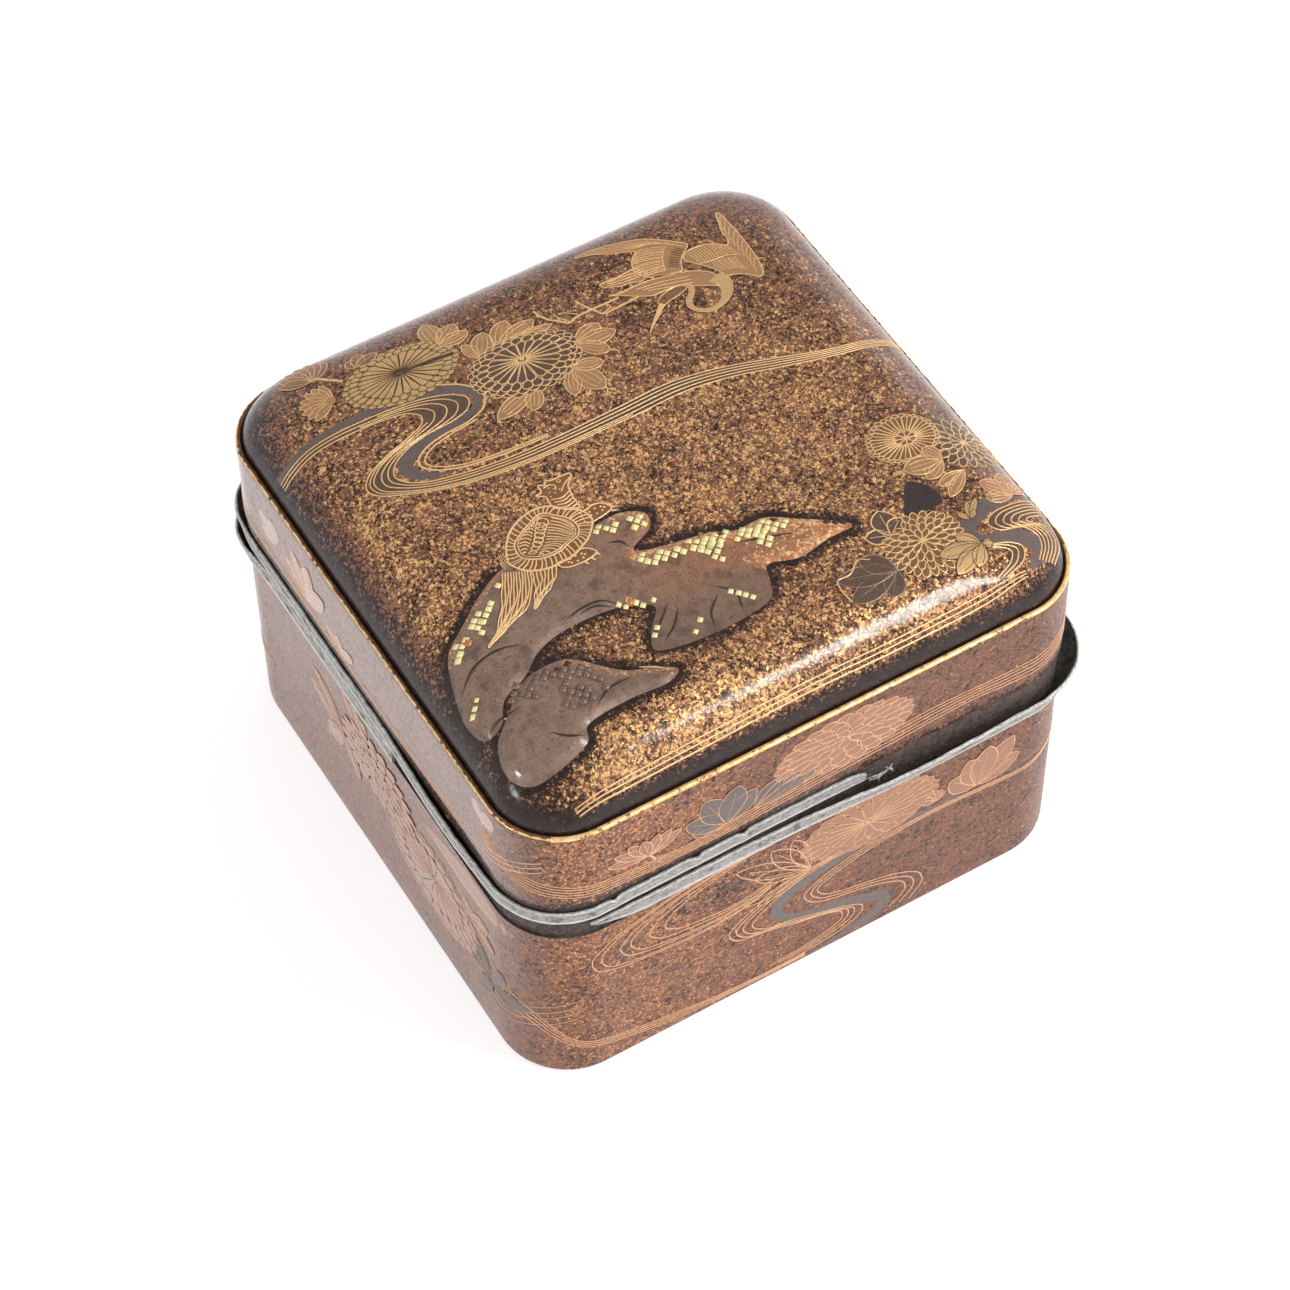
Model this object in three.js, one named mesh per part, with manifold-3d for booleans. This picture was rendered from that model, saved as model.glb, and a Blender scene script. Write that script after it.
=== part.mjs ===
// Small square lacquer box with a crowned lift-off lid and pewter strips on its two meeting edges.
// Millimetres, +Z up, origin at the middle of the underside. The front is the -Y side.
import * as THREE from "three";
import { mergeVertices } from "three/addons/utils/BufferGeometryUtils.js";
import Module from "manifold-3d";

const wasm = await Module();
wasm.setup();

// Plan of the box
const SIDE = 75; // width over the lacquered walls
const CORNER_RADIUS = 9; // outer radius of the bent bands at the corners

// Bands, boards and the standing lip
const WALL_THICKNESS = 3; // bent band of the body and of the lid
const BODY_HEIGHT = 31; // foot to top edge of the body's band
const LID_BAND_HEIGHT = 16.7; // lower edge to gold top edge of the lid's band
const BASE_THICKNESS = 3; // bottom board
const BASE_SEAT_WIDTH = 1.5; // width of the ledge that the bottom board bears on
const FOOT_ROUNDING = 0.8; // worn outer edge of the foot
const LIP_THICKNESS = 1.4; // standing lip inside the body
const LIP_STAND = 4.3; // how far the lip stands above the body's top edge

// Crowned top board
const GOLD_EDGE_WIDTH = 0.7; // thin upper edge of the lid's band, outside the gutter
const GUTTER_DEPTH = 0.5; // how far the board starts below the gold edge
const BOARD_EDGE = 2.2; // height of the board's own edge, below the gutter
const SHOULDER_RUN = 8; // plan width of the elliptical shoulder
const SHOULDER_RISE = 6.4; // height of the elliptical shoulder
const CROWN_RISE = 1.4; // further gentle rise to the middle of the lid
const CORNER_SOFTENING = 0.75; // how fast the plan corners grow rounder up the shoulder
const BOARD_THICKNESS = 3; // board under the crown
const ROCK_RELIEF = 0.6; // height of the lacquer built up for the two rocks

// Pewter strips
const STRIP_THICKNESS = 0.5;
const STRIP_REBATE = 0.3; // depth of the rebate that the strips are let into
const BODY_STRIP_HEIGHT = 2.2;
const LID_STRIP_HEIGHT = 1.9;
const LID_REBATE_HEIGHT = 3.2; // bare band left under the lid's lacquer
const LID_STRIP_RAISE = 0.2; // the lid strip stops short of the lid's lower edge
const END_SLANT = 1.4; // how far the body strip's slanted ends run along it
const TORN_LENGTH = 2.5; // ragged end of the lid strip
const TORN_HEIGHT = 0.6; // what is left of its height at the very end

// Clearances
const GLUE_GAP = 0.1; // glue and lacquer between fixed pieces
const LID_GAP = 0.3; // between the lid and whatever it rests or slides on

// Fineness of the facets
const CORNER_STEPS = 8;
const STRIP_STEPS = 18; // steps along one straight side of a strip
const CROWN_SIDE_STEPS = 4;
const SHOULDER_STEPS = 8;
const CROWN_STEPS = 5;

// Heights worked out from the sizes above
const BASE_TOP = BASE_THICKNESS;
const LIP_TOP = BODY_HEIGHT + LIP_STAND;
const LID_BOTTOM = BODY_HEIGHT + LID_GAP;
const GOLD_EDGE = LID_BOTTOM + LID_BAND_HEIGHT;
const GUTTER = GOLD_EDGE - GUTTER_DEPTH;
const BOARD_SEAT = GUTTER - BOARD_EDGE;
const BOARD_INSET = GOLD_EDGE_WIDTH + GLUE_GAP;
const LIP_INSET = WALL_THICKNESS + LID_GAP;
const STRIP_INSET = STRIP_REBATE - GLUE_GAP;
const HOLLOW_INSET = WALL_THICKNESS + LID_GAP; // where the board's underside begins to rise

// The outline as a path: distance is measured counter-clockwise from the middle of the front side
const STRAIGHT = SIDE - 2 * CORNER_RADIUS;
const ARC = (Math.PI / 2) * CORNER_RADIUS;
const PERIMETER = 4 * (STRAIGHT + ARC);
const cornerMiddle = (turn) => (STRAIGHT + ARC) * (turn + 0.5);
const FRONT_RIGHT = cornerMiddle(0);
const BACK_LEFT = cornerMiddle(2);
const FRONT_LEFT = cornerMiddle(3);

const LACQUER = { color: 0x7a4f2c, roughness: 0.35, metalness: 0.25 };
const DARK_LACQUER = { color: 0x2b1d17, roughness: 0.4, metalness: 0.05 };
const PEWTER = { color: 0x8f918c, roughness: 0.45, metalness: 0.85 };

// Bends in the strips, each placed from the middle of a corner. before and after are how far a
// bend reaches against and along the path; lean is in degrees outward; stand and lift in mm.
const BODY_STRIP_BENDS = [
  { corner: FRONT_RIGHT, shift: -20.6, before: 25, after: 30, lean: 18, stand: 0.5, lift: 0 },
  { corner: FRONT_RIGHT, shift: 8.4, before: 17, after: 33, lean: 54, stand: 1.2, lift: 0 },
  { corner: BACK_LEFT, shift: -2.8, before: 16, after: 14, lean: 38, stand: 0.6, lift: 0 },
];
const LID_STRIP_BENDS = [
  { corner: BACK_LEFT, shift: -4.8, before: 16, after: 12, lean: 50, stand: 1.2, lift: 0 },
  { corner: FRONT_LEFT, shift: -18, before: 16, after: 18, lean: 0, stand: 0.5, lift: 0 },
  { corner: FRONT_RIGHT, shift: -35, before: 60, after: 30, lean: 0, stand: 0, lift: 0.8 },
];
const BODY_STRIP_START = FRONT_LEFT + 5.5;
const BODY_STRIP_END = FRONT_LEFT - 30 + PERIMETER;
const LID_STRIP_START = FRONT_RIGHT + 26;
const LID_STRIP_END = FRONT_RIGHT - 29 + PERIMETER;

// Plan outlines of the raised rocks, for smooth closed curves
const LARGE_ROCK = [
  [-34.1, -15.1], [-32.6, -11.8], [-29.9, -10], [-25.8, -7.1], [-21.6, -5.3], [-10.5, -5.6],
  [-6.7, -5.7], [-4.4, -7.3], [-5, -9.2], [-8.2, -11], [-3, -12.6], [0.3, -13.2], [2.8, -14.4],
  [6.5, -14.5], [9.5, -16.3], [14.8, -20.5], [11.2, -20.8], [7, -21.4], [3, -20.3], [-4.2, -19.2],
  [-10.5, -19], [-12.5, -17.4], [-19.2, -16.5], [-24, -17.4], [-27.5, -19.8], [-33, -21.8],
  [-34.6, -19],
];
const SMALL_ROCK = [
  [-31.1, -22.6], [-28.6, -20.3], [-25.5, -19.5], [-22.1, -19.9], [-20, -22], [-17.4, -24.6],
  [-14.6, -25.8], [-12.3, -27.4], [-14, -28.4], [-19, -28.2], [-24.8, -28.8], [-25.4, -30.2],
  [-29.9, -31.4], [-33.2, -31], [-34.7, -28.6], [-33.9, -24.9],
];

// Point of the outer outline at a distance along it, with its outward normal
function outlinePoint(distance) {
  const wrapped = ((distance % PERIMETER) + PERIMETER) % PERIMETER;
  const fromSideMiddle = wrapped + STRAIGHT / 2;
  const turn = Math.floor(fromSideMiddle / (STRAIGHT + ARC));
  const along = fromSideMiddle - turn * (STRAIGHT + ARC);
  const heading = (turn * Math.PI) / 2 + Math.max(0, along - STRAIGHT) / CORNER_RADIUS;
  const normal = new THREE.Vector2(Math.sin(heading), -Math.cos(heading));
  const tangent = new THREE.Vector2(Math.cos(heading), Math.sin(heading));
  const middle = new THREE.Vector2(Math.min(along, STRAIGHT) - STRAIGHT / 2, -STRAIGHT / 2);
  middle.rotateAround(new THREE.Vector2(), (turn * Math.PI) / 2);
  return { point: middle.addScaledVector(normal, CORNER_RADIUS), normal, tangent, distance };
}

// Distances of the stations round one whole turn
function turnStations(sideSteps) {
  const distances = [];
  for (let turn = 0; turn < 4; turn += 1) {
    const start = turn * (STRAIGHT + ARC) - STRAIGHT / 2;
    for (let i = 0; i < sideSteps; i += 1) distances.push(start + (STRAIGHT * i) / sideSteps);
    for (let i = 0; i < CORNER_STEPS; i += 1) {
      distances.push(start + STRAIGHT + (ARC * i) / CORNER_STEPS);
    }
  }
  return distances;
}

// Distances of the stations of a strip from start to end, which lie less than a turn apart
function stripStations(start, end, keepClear) {
  const grid = turnStations(STRIP_STEPS);
  const twoTurns = [...grid, ...grid.map((distance) => distance + PERIMETER)];
  const inside = twoTurns.filter((d) => d > start + keepClear && d < end - keepClear);
  return [start, ...inside, end];
}

// Faces of a grid of rings; a ring's points run counter-clockwise seen from above
function gridFaces(ringCount, pointCount, ringsClose, pointsClose) {
  const faces = [];
  const lastRing = ringsClose ? ringCount : ringCount - 1;
  const lastPoint = pointsClose ? pointCount : pointCount - 1;
  for (let i = 0; i < lastRing; i += 1) {
    const next = (i + 1) % ringCount;
    for (let j = 0; j < lastPoint; j += 1) {
      const up = (j + 1) % pointCount;
      const corner = [i * pointCount + j, next * pointCount + j];
      corner.push(next * pointCount + up, i * pointCount + up);
      faces.push(corner[0], corner[1], corner[2], corner[0], corner[2], corner[3]);
    }
  }
  return faces;
}

function meshGeometry(positions, faces) {
  const geometry = new THREE.BufferGeometry();
  geometry.setAttribute("position", new THREE.Float32BufferAttribute(positions, 3));
  geometry.setIndex(faces);
  geometry.computeVertexNormals();
  return geometry;
}

// Sweeps a section round the outline. The section's points run from the outer foot upward, over
// and back down the inside; inset is measured inward from the outer outline.
function sweep(distances, sectionAt, closed) {
  const positions = [];
  const sections = distances.map(sectionAt);
  const pointCount = sections[0].length;
  distances.forEach((distance, i) => {
    const { point, normal, tangent } = outlinePoint(distance);
    for (const { inset, z, slide = 0 } of sections[i]) {
      const x = point.x - normal.x * inset + tangent.x * slide;
      const y = point.y - normal.y * inset + tangent.y * slide;
      positions.push(x, y, z);
    }
  });
  const faces = gridFaces(distances.length, pointCount, closed, true);
  if (!closed) {
    const last = (distances.length - 1) * pointCount;
    for (let j = 1; j < pointCount - 1; j += 1) {
      faces.push(0, j, j + 1);
      faces.push(last, last + j + 1, last + j);
    }
  }
  return meshGeometry(positions, faces);
}

// A closed band of constant section, drawn as a list of [inset, z]
function band(section) {
  const points = section.map(([inset, z]) => ({ inset, z }));
  return sweep(turnStations(1), () => points, true);
}

// Quarter round at the foot, from the underside to the outer face
function footRounding(radius, steps) {
  const points = [];
  for (let i = 0; i <= steps; i += 1) {
    const angle = (Math.PI / 2) * (i / steps);
    points.push([radius * (1 - Math.sin(angle)), radius * (1 - Math.cos(angle))]);
  }
  return points;
}

// Bent band of the body: rebated inside at the foot for the board, outside at the top for pewter
function bodyWall() {
  const seatInset = WALL_THICKNESS - BASE_SEAT_WIDTH;
  const rebateFoot = BODY_HEIGHT - BODY_STRIP_HEIGHT - GLUE_GAP;
  return band([
    ...footRounding(FOOT_ROUNDING, 4),
    [0, rebateFoot],
    [STRIP_REBATE, rebateFoot],
    [STRIP_REBATE, BODY_HEIGHT],
    [WALL_THICKNESS, BODY_HEIGHT],
    [WALL_THICKNESS, BASE_TOP],
    [seatInset, BASE_TOP],
    [seatInset, 0],
  ]);
}

// Rounded square, as a shape for extruding
function roundedSquare(inset) {
  const half = SIDE / 2 - inset;
  const radius = CORNER_RADIUS - inset;
  const reach = half - radius;
  const shape = new THREE.Shape();
  shape.moveTo(-reach, -half);
  shape.absarc(reach, -reach, radius, -Math.PI / 2, 0, false);
  shape.absarc(reach, reach, radius, 0, Math.PI / 2, false);
  shape.absarc(-reach, reach, radius, Math.PI / 2, Math.PI, false);
  shape.absarc(-reach, -reach, radius, Math.PI, Math.PI * 1.5, false);
  return shape;
}

// Bottom board, set up into the foot of the body's band until it meets the ledge
function baseBoard() {
  const inset = WALL_THICKNESS - BASE_SEAT_WIDTH + GLUE_GAP;
  return new THREE.ExtrudeGeometry(roundedSquare(inset), {
    depth: BASE_THICKNESS,
    bevelEnabled: false,
    curveSegments: CORNER_STEPS,
  });
}

// Thin standing band on the bottom board, which guides the lid; its top edges are eased
function innerLip() {
  const inner = LIP_INSET + LIP_THICKNESS;
  const ease = LIP_THICKNESS / 3;
  return band([
    [LIP_INSET, BASE_TOP],
    [LIP_INSET, LIP_TOP - ease],
    [LIP_INSET + ease, LIP_TOP],
    [inner - ease, LIP_TOP],
    [inner, LIP_TOP - ease],
    [inner, BASE_TOP],
  ]);
}

// Bent band of the lid: thin gold edge above, a ledge inside for the board, a rebate for pewter
function lidWall() {
  const rebateTop = LID_BOTTOM + LID_REBATE_HEIGHT;
  const ease = GOLD_EDGE_WIDTH / 3;
  return band([
    [STRIP_REBATE, LID_BOTTOM],
    [STRIP_REBATE, rebateTop],
    [0, rebateTop],
    [0, GOLD_EDGE - ease],
    [ease, GOLD_EDGE],
    [GOLD_EDGE_WIDTH, GOLD_EDGE],
    [GOLD_EDGE_WIDTH, BOARD_SEAT],
    [WALL_THICKNESS, BOARD_SEAT],
    [WALL_THICKNESS, LID_BOTTOM],
  ]);
}

// How far a bend acts at a distance along the path: 1 at its middle, 0 beyond its reach
function bendShare(bend, distance) {
  const turns = (distance - bend.corner - bend.shift) / PERIMETER;
  const away = (turns - Math.round(turns)) * PERIMETER;
  const reach = away < 0 ? bend.before : bend.after;
  return (1 + Math.cos(Math.PI * Math.min(Math.abs(away) / reach, 1))) / 2;
}

function sumOfBends(bends, distance, key) {
  return bends.reduce((sum, bend) => sum + bend[key] * bendShare(bend, distance), 0);
}

// Upright strip section that has been bent: it stands off the wall, leans out, and is lifted.
// slant slides its upper half along the path, for a slanted end.
function stripSection(bends, distance, foot, height, slant) {
  const lean = THREE.MathUtils.degToRad(sumOfBends(bends, distance, "lean"));
  const inset = STRIP_INSET - sumOfBends(bends, distance, "stand");
  const z = foot + sumOfBends(bends, distance, "lift");
  const rise = [-Math.sin(lean) * height, Math.cos(lean) * height];
  const out = [-Math.cos(lean) * STRIP_THICKNESS, -Math.sin(lean) * STRIP_THICKNESS];
  return [
    { inset: inset + out[0], z: z + out[1], slide: -slant / 2 },
    { inset: inset + out[0] + rise[0], z: z + out[1] + rise[1], slide: slant / 2 },
    { inset: inset + rise[0], z: z + rise[1], slide: slant / 2 },
    { inset, z, slide: -slant / 2 },
  ];
}

// Pewter strip of the body, with slanted ends and missing round the left front corner
function bodyRim() {
  const foot = BODY_HEIGHT - BODY_STRIP_HEIGHT;
  const distances = stripStations(BODY_STRIP_START, BODY_STRIP_END, END_SLANT);
  const sectionAt = (distance) => {
    const atEnd = distance === BODY_STRIP_START || distance === BODY_STRIP_END;
    const slant = atEnd ? END_SLANT : 0;
    return stripSection(BODY_STRIP_BENDS, distance, foot, BODY_STRIP_HEIGHT, slant);
  };
  return sweep(distances, sectionAt, false);
}

// Pewter strip of the lid, torn away over the right front corner and ragged where it tore
function lidRim() {
  const foot = LID_BOTTOM + LID_STRIP_RAISE;
  const distances = stripStations(LID_STRIP_START, LID_STRIP_END, TORN_LENGTH);
  distances.splice(-1, 0, LID_STRIP_END - TORN_LENGTH);
  const sectionAt = (distance) => {
    const height = distance === LID_STRIP_END ? TORN_HEIGHT : LID_STRIP_HEIGHT;
    return stripSection(LID_STRIP_BENDS, distance, foot, height, 0);
  };
  return sweep(distances, sectionAt, false);
}

// Share of the elliptical shoulder that is climbed at an inset, when it begins at a start inset
function shoulderShare(inset, start) {
  const run = BOARD_INSET + SHOULDER_RUN - start;
  const share = Math.min((inset - start) / run, 1);
  return Math.sqrt(1 - (1 - share) ** 2);
}

// Share of the gentle crown that is reached at an inset
function crownShare(inset) {
  return 1 - (1 - (inset - BOARD_INSET) / (SIDE / 2 - BOARD_INSET)) ** 2;
}

function topHeight(inset) {
  return GUTTER + SHOULDER_RISE * shoulderShare(inset, BOARD_INSET) + CROWN_RISE * crownShare(inset);
}

function undersideHeight(inset) {
  const rise = BOARD_EDGE + SHOULDER_RISE - BOARD_THICKNESS;
  const crown = CROWN_RISE * (crownShare(inset) - crownShare(HOLLOW_INSET));
  return BOARD_SEAT + rise * shoulderShare(inset, HOLLOW_INSET) + crown;
}

// Insets of the level curves from the board's edge to near its middle
function crownInsets(startInset) {
  const run = BOARD_INSET + SHOULDER_RUN - startInset;
  const insets = [];
  for (let i = 0; i <= SHOULDER_STEPS; i += 1) {
    insets.push(startInset + run * (1 - Math.cos((Math.PI / 2) * (i / SHOULDER_STEPS))));
  }
  const flat = SIDE / 2 - BOARD_INSET - SHOULDER_RUN;
  for (let i = 1; i < CROWN_STEPS; i += 1) {
    insets.push(BOARD_INSET + SHOULDER_RUN + (flat * i) / CROWN_STEPS);
  }
  return insets;
}

// Level curve of the crown: a rounded square whose corners grow rounder up the shoulder
function levelCurve(inset) {
  const half = SIDE / 2 - inset;
  const grown = CORNER_RADIUS - BOARD_INSET + CORNER_SOFTENING * (inset - BOARD_INSET);
  const radius = Math.min(half, grown);
  const reach = half - radius;
  const points = [];
  for (let turn = 0; turn < 4; turn += 1) {
    const quarter = (turn * Math.PI) / 2;
    for (let i = 0; i < CROWN_SIDE_STEPS; i += 1) {
      const along = -reach + (2 * reach * i) / CROWN_SIDE_STEPS;
      points.push(new THREE.Vector2(along, -half).rotateAround(new THREE.Vector2(), quarter));
    }
    for (let i = 0; i < CORNER_STEPS; i += 1) {
      const angle = quarter - Math.PI / 2 + ((Math.PI / 2) * i) / CORNER_STEPS;
      const centre = new THREE.Vector2(reach, -reach).rotateAround(new THREE.Vector2(), quarter);
      points.push(centre.add(new THREE.Vector2(Math.cos(angle), Math.sin(angle)).multiplyScalar(radius)));
    }
  }
  return points;
}

// Crowned board, lofted through level curves from under its middle, round its edge, to its top
function crownedBoard() {
  const under = crownInsets(HOLLOW_INSET).reverse();
  const levels = under.map((inset) => ({ inset, z: undersideHeight(inset) }));
  levels.push({ inset: BOARD_INSET, z: BOARD_SEAT });
  levels.push(...crownInsets(BOARD_INSET).map((inset) => ({ inset, z: topHeight(inset) })));
  const curves = levels.map(({ inset }) => levelCurve(inset));
  const pointCount = curves[0].length;
  const positions = [];
  for (let i = 0; i < pointCount; i += 1) {
    levels.forEach(({ z }, j) => positions.push(curves[j][i].x, curves[j][i].y, z));
  }
  const faces = gridFaces(pointCount, levels.length, true, false);
  const underMiddle = pointCount * levels.length;
  positions.push(0, 0, undersideHeight(SIDE / 2), 0, 0, topHeight(SIDE / 2));
  for (let i = 0; i < pointCount; i += 1) {
    const here = i * levels.length;
    const next = ((i + 1) % pointCount) * levels.length;
    faces.push(underMiddle, next, here);
    faces.push(underMiddle + 1, here + levels.length - 1, next + levels.length - 1);
  }
  return meshGeometry(positions, faces);
}

function toSolid(geometry) {
  const bare = geometry.clone();
  bare.deleteAttribute("normal");
  bare.deleteAttribute("uv");
  const merged = mergeVertices(bare);
  const vertProperties = new Float32Array(merged.attributes.position.array);
  const triVerts = new Uint32Array(merged.index.array);
  return new wasm.Manifold(new wasm.Mesh({ numProp: 3, vertProperties, triVerts }));
}

function fromSolid(solid) {
  const { vertProperties, triVerts } = solid.getMesh();
  return meshGeometry(Array.from(vertProperties), Array.from(triVerts));
}

// Upright prism over a rock's outline, tall enough to cross the whole crown
function rockPrism(outline) {
  const corners = outline.map(([x, y]) => new THREE.Vector3(x, y, 0));
  const curve = new THREE.CatmullRomCurve3(corners, true, "centripetal");
  const points = curve.getPoints(outline.length * 3).slice(0, -1);
  const shape = new THREE.Shape(points.map(({ x, y }) => new THREE.Vector2(x, y)));
  const depth = topHeight(SIDE / 2) + ROCK_RELIEF - BOARD_SEAT + 1;
  const geometry = new THREE.ExtrudeGeometry(shape, { depth, bevelEnabled: false });
  return geometry.translate(0, 0, BOARD_SEAT);
}

// Lid board with the lacquer built up over the two rocks, which follows the crown
function lidTop() {
  const board = toSolid(crownedBoard());
  const raised = board.translate([0, 0, ROCK_RELIEF]);
  const rocks = [LARGE_ROCK, SMALL_ROCK].map((outline) => toSolid(rockPrism(outline)));
  return fromSolid(rocks.reduce((sum, rock) => sum.add(rock.intersect(raised)), board));
}

function piece(name, geometry, look) {
  const mesh = new THREE.Mesh(geometry, new THREE.MeshStandardMaterial(look));
  mesh.name = name;
  return mesh;
}

const body = new THREE.Group();
body.add(
  piece("base_board", baseBoard(), DARK_LACQUER),
  piece("body_wall", bodyWall(), LACQUER),
  piece("inner_lip", innerLip(), DARK_LACQUER),
  piece("body_rim", bodyRim(), PEWTER),
);

const lid = new THREE.Group();
lid.add(
  piece("lid_wall", lidWall(), LACQUER),
  piece("lid_top", lidTop(), LACQUER),
  piece("lid_rim", lidRim(), PEWTER),
);

const box = new THREE.Group();
box.add(body, lid);

export default box;
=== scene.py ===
import math

import bpy
import numpy as np
from mathutils import Matrix, Vector
from mathutils.geometry import delaunay_2d_cdt


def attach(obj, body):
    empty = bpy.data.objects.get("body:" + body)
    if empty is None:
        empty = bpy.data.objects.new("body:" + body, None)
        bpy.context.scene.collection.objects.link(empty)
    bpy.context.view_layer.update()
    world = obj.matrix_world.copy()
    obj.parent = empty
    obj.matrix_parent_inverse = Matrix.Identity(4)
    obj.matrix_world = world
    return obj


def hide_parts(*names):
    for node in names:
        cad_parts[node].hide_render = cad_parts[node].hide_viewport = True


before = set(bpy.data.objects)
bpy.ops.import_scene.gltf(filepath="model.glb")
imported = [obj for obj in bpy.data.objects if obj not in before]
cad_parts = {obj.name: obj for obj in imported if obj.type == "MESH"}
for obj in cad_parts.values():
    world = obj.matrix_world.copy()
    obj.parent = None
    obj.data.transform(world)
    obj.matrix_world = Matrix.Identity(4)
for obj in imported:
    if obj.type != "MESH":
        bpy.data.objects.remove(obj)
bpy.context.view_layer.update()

# Sizes of the box in millimetres, the same as in the solids
MM = 0.001
SIDE = 75.0
CORNER_RADIUS = 9.0
WALL = 3.0
BODY_HEIGHT = 31.0
BASE_TOP = 3.0
BASE_SEAT_WIDTH = 1.5
FOOT_ROUNDING = 0.8
LID_BAND_HEIGHT = 16.7
GOLD_EDGE_WIDTH = 0.7
GUTTER_DEPTH = 0.5
BOARD_EDGE = 2.2
BOARD_THICKNESS = 3.0
SHOULDER_RUN = 8.0
SHOULDER_RISE = 6.4
CROWN_RISE = 1.4
CORNER_SOFTENING = 0.75
ROCK_RELIEF = 0.51
ROCK_ROUNDING = 1.5
LOBE_FLATNESS = 0.72
STRIP_THICKNESS = 0.5
STRIP_REBATE = 0.3
BODY_STRIP_HEIGHT = 2.2
LID_STRIP_HEIGHT = 1.9
LID_STRIP_RAISE = 0.2
LID_REBATE_HEIGHT = 3.2
LID_GAP = 0.3
GLUE_GAP = 0.1

# Heights, insets and lengths worked out from them
HALF = SIDE / 2
LID_BOTTOM = BODY_HEIGHT + LID_GAP
GOLD_EDGE = LID_BOTTOM + LID_BAND_HEIGHT
GUTTER = GOLD_EDGE - GUTTER_DEPTH
BOARD_SEAT = GUTTER - BOARD_EDGE
BOARD_INSET = GOLD_EDGE_WIDTH + GLUE_GAP
HOLLOW_INSET = WALL + LID_GAP
STRIP_INSET = STRIP_REBATE - GLUE_GAP
LID_STRIP_FOOT = LID_BOTTOM + LID_STRIP_RAISE
LID_REBATE_TOP = LID_BOTTOM + LID_REBATE_HEIGHT
STRAIGHT = SIDE - 2 * CORNER_RADIUS
ARC = math.pi / 2 * CORNER_RADIUS
PERIMETER = 4 * (STRAIGHT + ARC)
FRONT_RIGHT, BACK_LEFT, FRONT_LEFT = [(STRAIGHT + ARC) * (turn + 0.5) for turn in (0, 2, 3)]
RIGHT_MIDDLE, BACK_MIDDLE, LEFT_MIDDLE = [(STRAIGHT + ARC) * turn for turn in (1, 2, 3)]

# corner, shift, before, after, lean in degrees, stand and lift in millimetres
BODY_STRIP_BENDS = [
    (FRONT_RIGHT, -20.6, 25, 30, 18, 0.5, 0),
    (FRONT_RIGHT, 8.4, 17, 33, 54, 1.2, 0),
    (BACK_LEFT, -2.8, 16, 14, 38, 0.6, 0),
]
LID_STRIP_BENDS = [
    (BACK_LEFT, -4.8, 16, 12, 50, 1.2, 0),
    (FRONT_LEFT, -18, 16, 18, 0, 0.5, 0),
    (FRONT_RIGHT, -35, 60, 30, 0, 0, 0.8),
]
# Distances at which each strip starts and ends
BODY_STRIP_ENDS = (FRONT_LEFT + 5.5, FRONT_LEFT - 30 + PERIMETER)
LID_STRIP_ENDS = (FRONT_RIGHT + 26, FRONT_RIGHT - 29 + PERIMETER)

# Outlines of the built-up rocks and the ridges along which they are warm and golden
LARGE_ROCK = [
    (-34.1, -15.1), (-32.6, -11.8), (-29.9, -10), (-25.8, -7.1), (-21.6, -5.3), (-10.5, -5.6),
    (-6.7, -5.7), (-4.4, -7.3), (-5, -9.2), (-8.2, -11), (-3, -12.6), (0.3, -13.2), (2.8, -14.4),
    (6.5, -14.5), (9.5, -16.3), (14.8, -20.5), (11.2, -20.8), (7, -21.4), (3.4, -20.5),
    (2.6, -22.4), (1.6, -24.4), (-2, -25.3), (-7, -25.4), (-11.2, -24.9), (-13.5, -23.9),
    (-12.2, -21.2), (-10.4, -19), (-12.5, -17.4), (-19.2, -16.5), (-24, -17.4), (-27.5, -19.8),
    (-30.6, -21.0), (-32.4, -23.4), (-34.4, -23.6), (-35.2, -20.6),
]
SMALL_ROCK = [
    (-31.1, -22.6), (-28.6, -20.3), (-25.5, -19.5), (-22.1, -19.9), (-20, -22), (-17.4, -24.6),
    (-14.6, -25.8), (-12.3, -27.4), (-14, -28.4), (-19, -28.2), (-24.8, -28.8), (-25.4, -30.2),
    (-29.9, -31.4), (-33.2, -31), (-34.7, -28.6), (-33.9, -24.9),
]
LEFT_RIDGE = [(-33.4, -13), (-30, -9.8), (-25.8, -7.4), (-22, -5.6)]
RIGHT_RIDGE = [(-8.6, -11.9), (-3, -13.0), (0.3, -13.6), (2.8, -14.8), (6.6, -14.9), (9.4, -16.8),
               (14, -20.3)]
RIGHT_FOOT = [(2.4, -19.4), (5, -20.4), (8, -20.9), (11.2, -20.5), (14, -20.4)]
KNOB_RIDGE = [(-8.4, -5.9), (-6.4, -6.1), (-4.8, -7.6), (-5.4, -9)]
SMALL_RIDGE = [(-22.4, -20.4), (-20.4, -22.2), (-17.8, -24.9), (-14.8, -26.2), (-13, -27.5)]


def outline(distance):
    """Points and outward normals of the plan outline at distances from the front's middle."""
    s = np.atleast_1d(np.asarray(distance, float)) % PERIMETER
    w = s + STRAIGHT / 2
    turn = np.floor(w / (STRAIGHT + ARC))
    along = w - turn * (STRAIGHT + ARC)
    quarter = turn * math.pi / 2
    heading = quarter + np.maximum(0, along - STRAIGHT) / CORNER_RADIUS
    normal = np.stack([np.sin(heading), -np.cos(heading)], 1)
    x = np.minimum(along, STRAIGHT) - STRAIGHT / 2
    y = np.full_like(x, -STRAIGHT / 2)
    point = np.stack([x * np.cos(quarter) - y * np.sin(quarter),
                      x * np.sin(quarter) + y * np.cos(quarter)], 1)
    return point + normal * CORNER_RADIUS, normal


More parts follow.
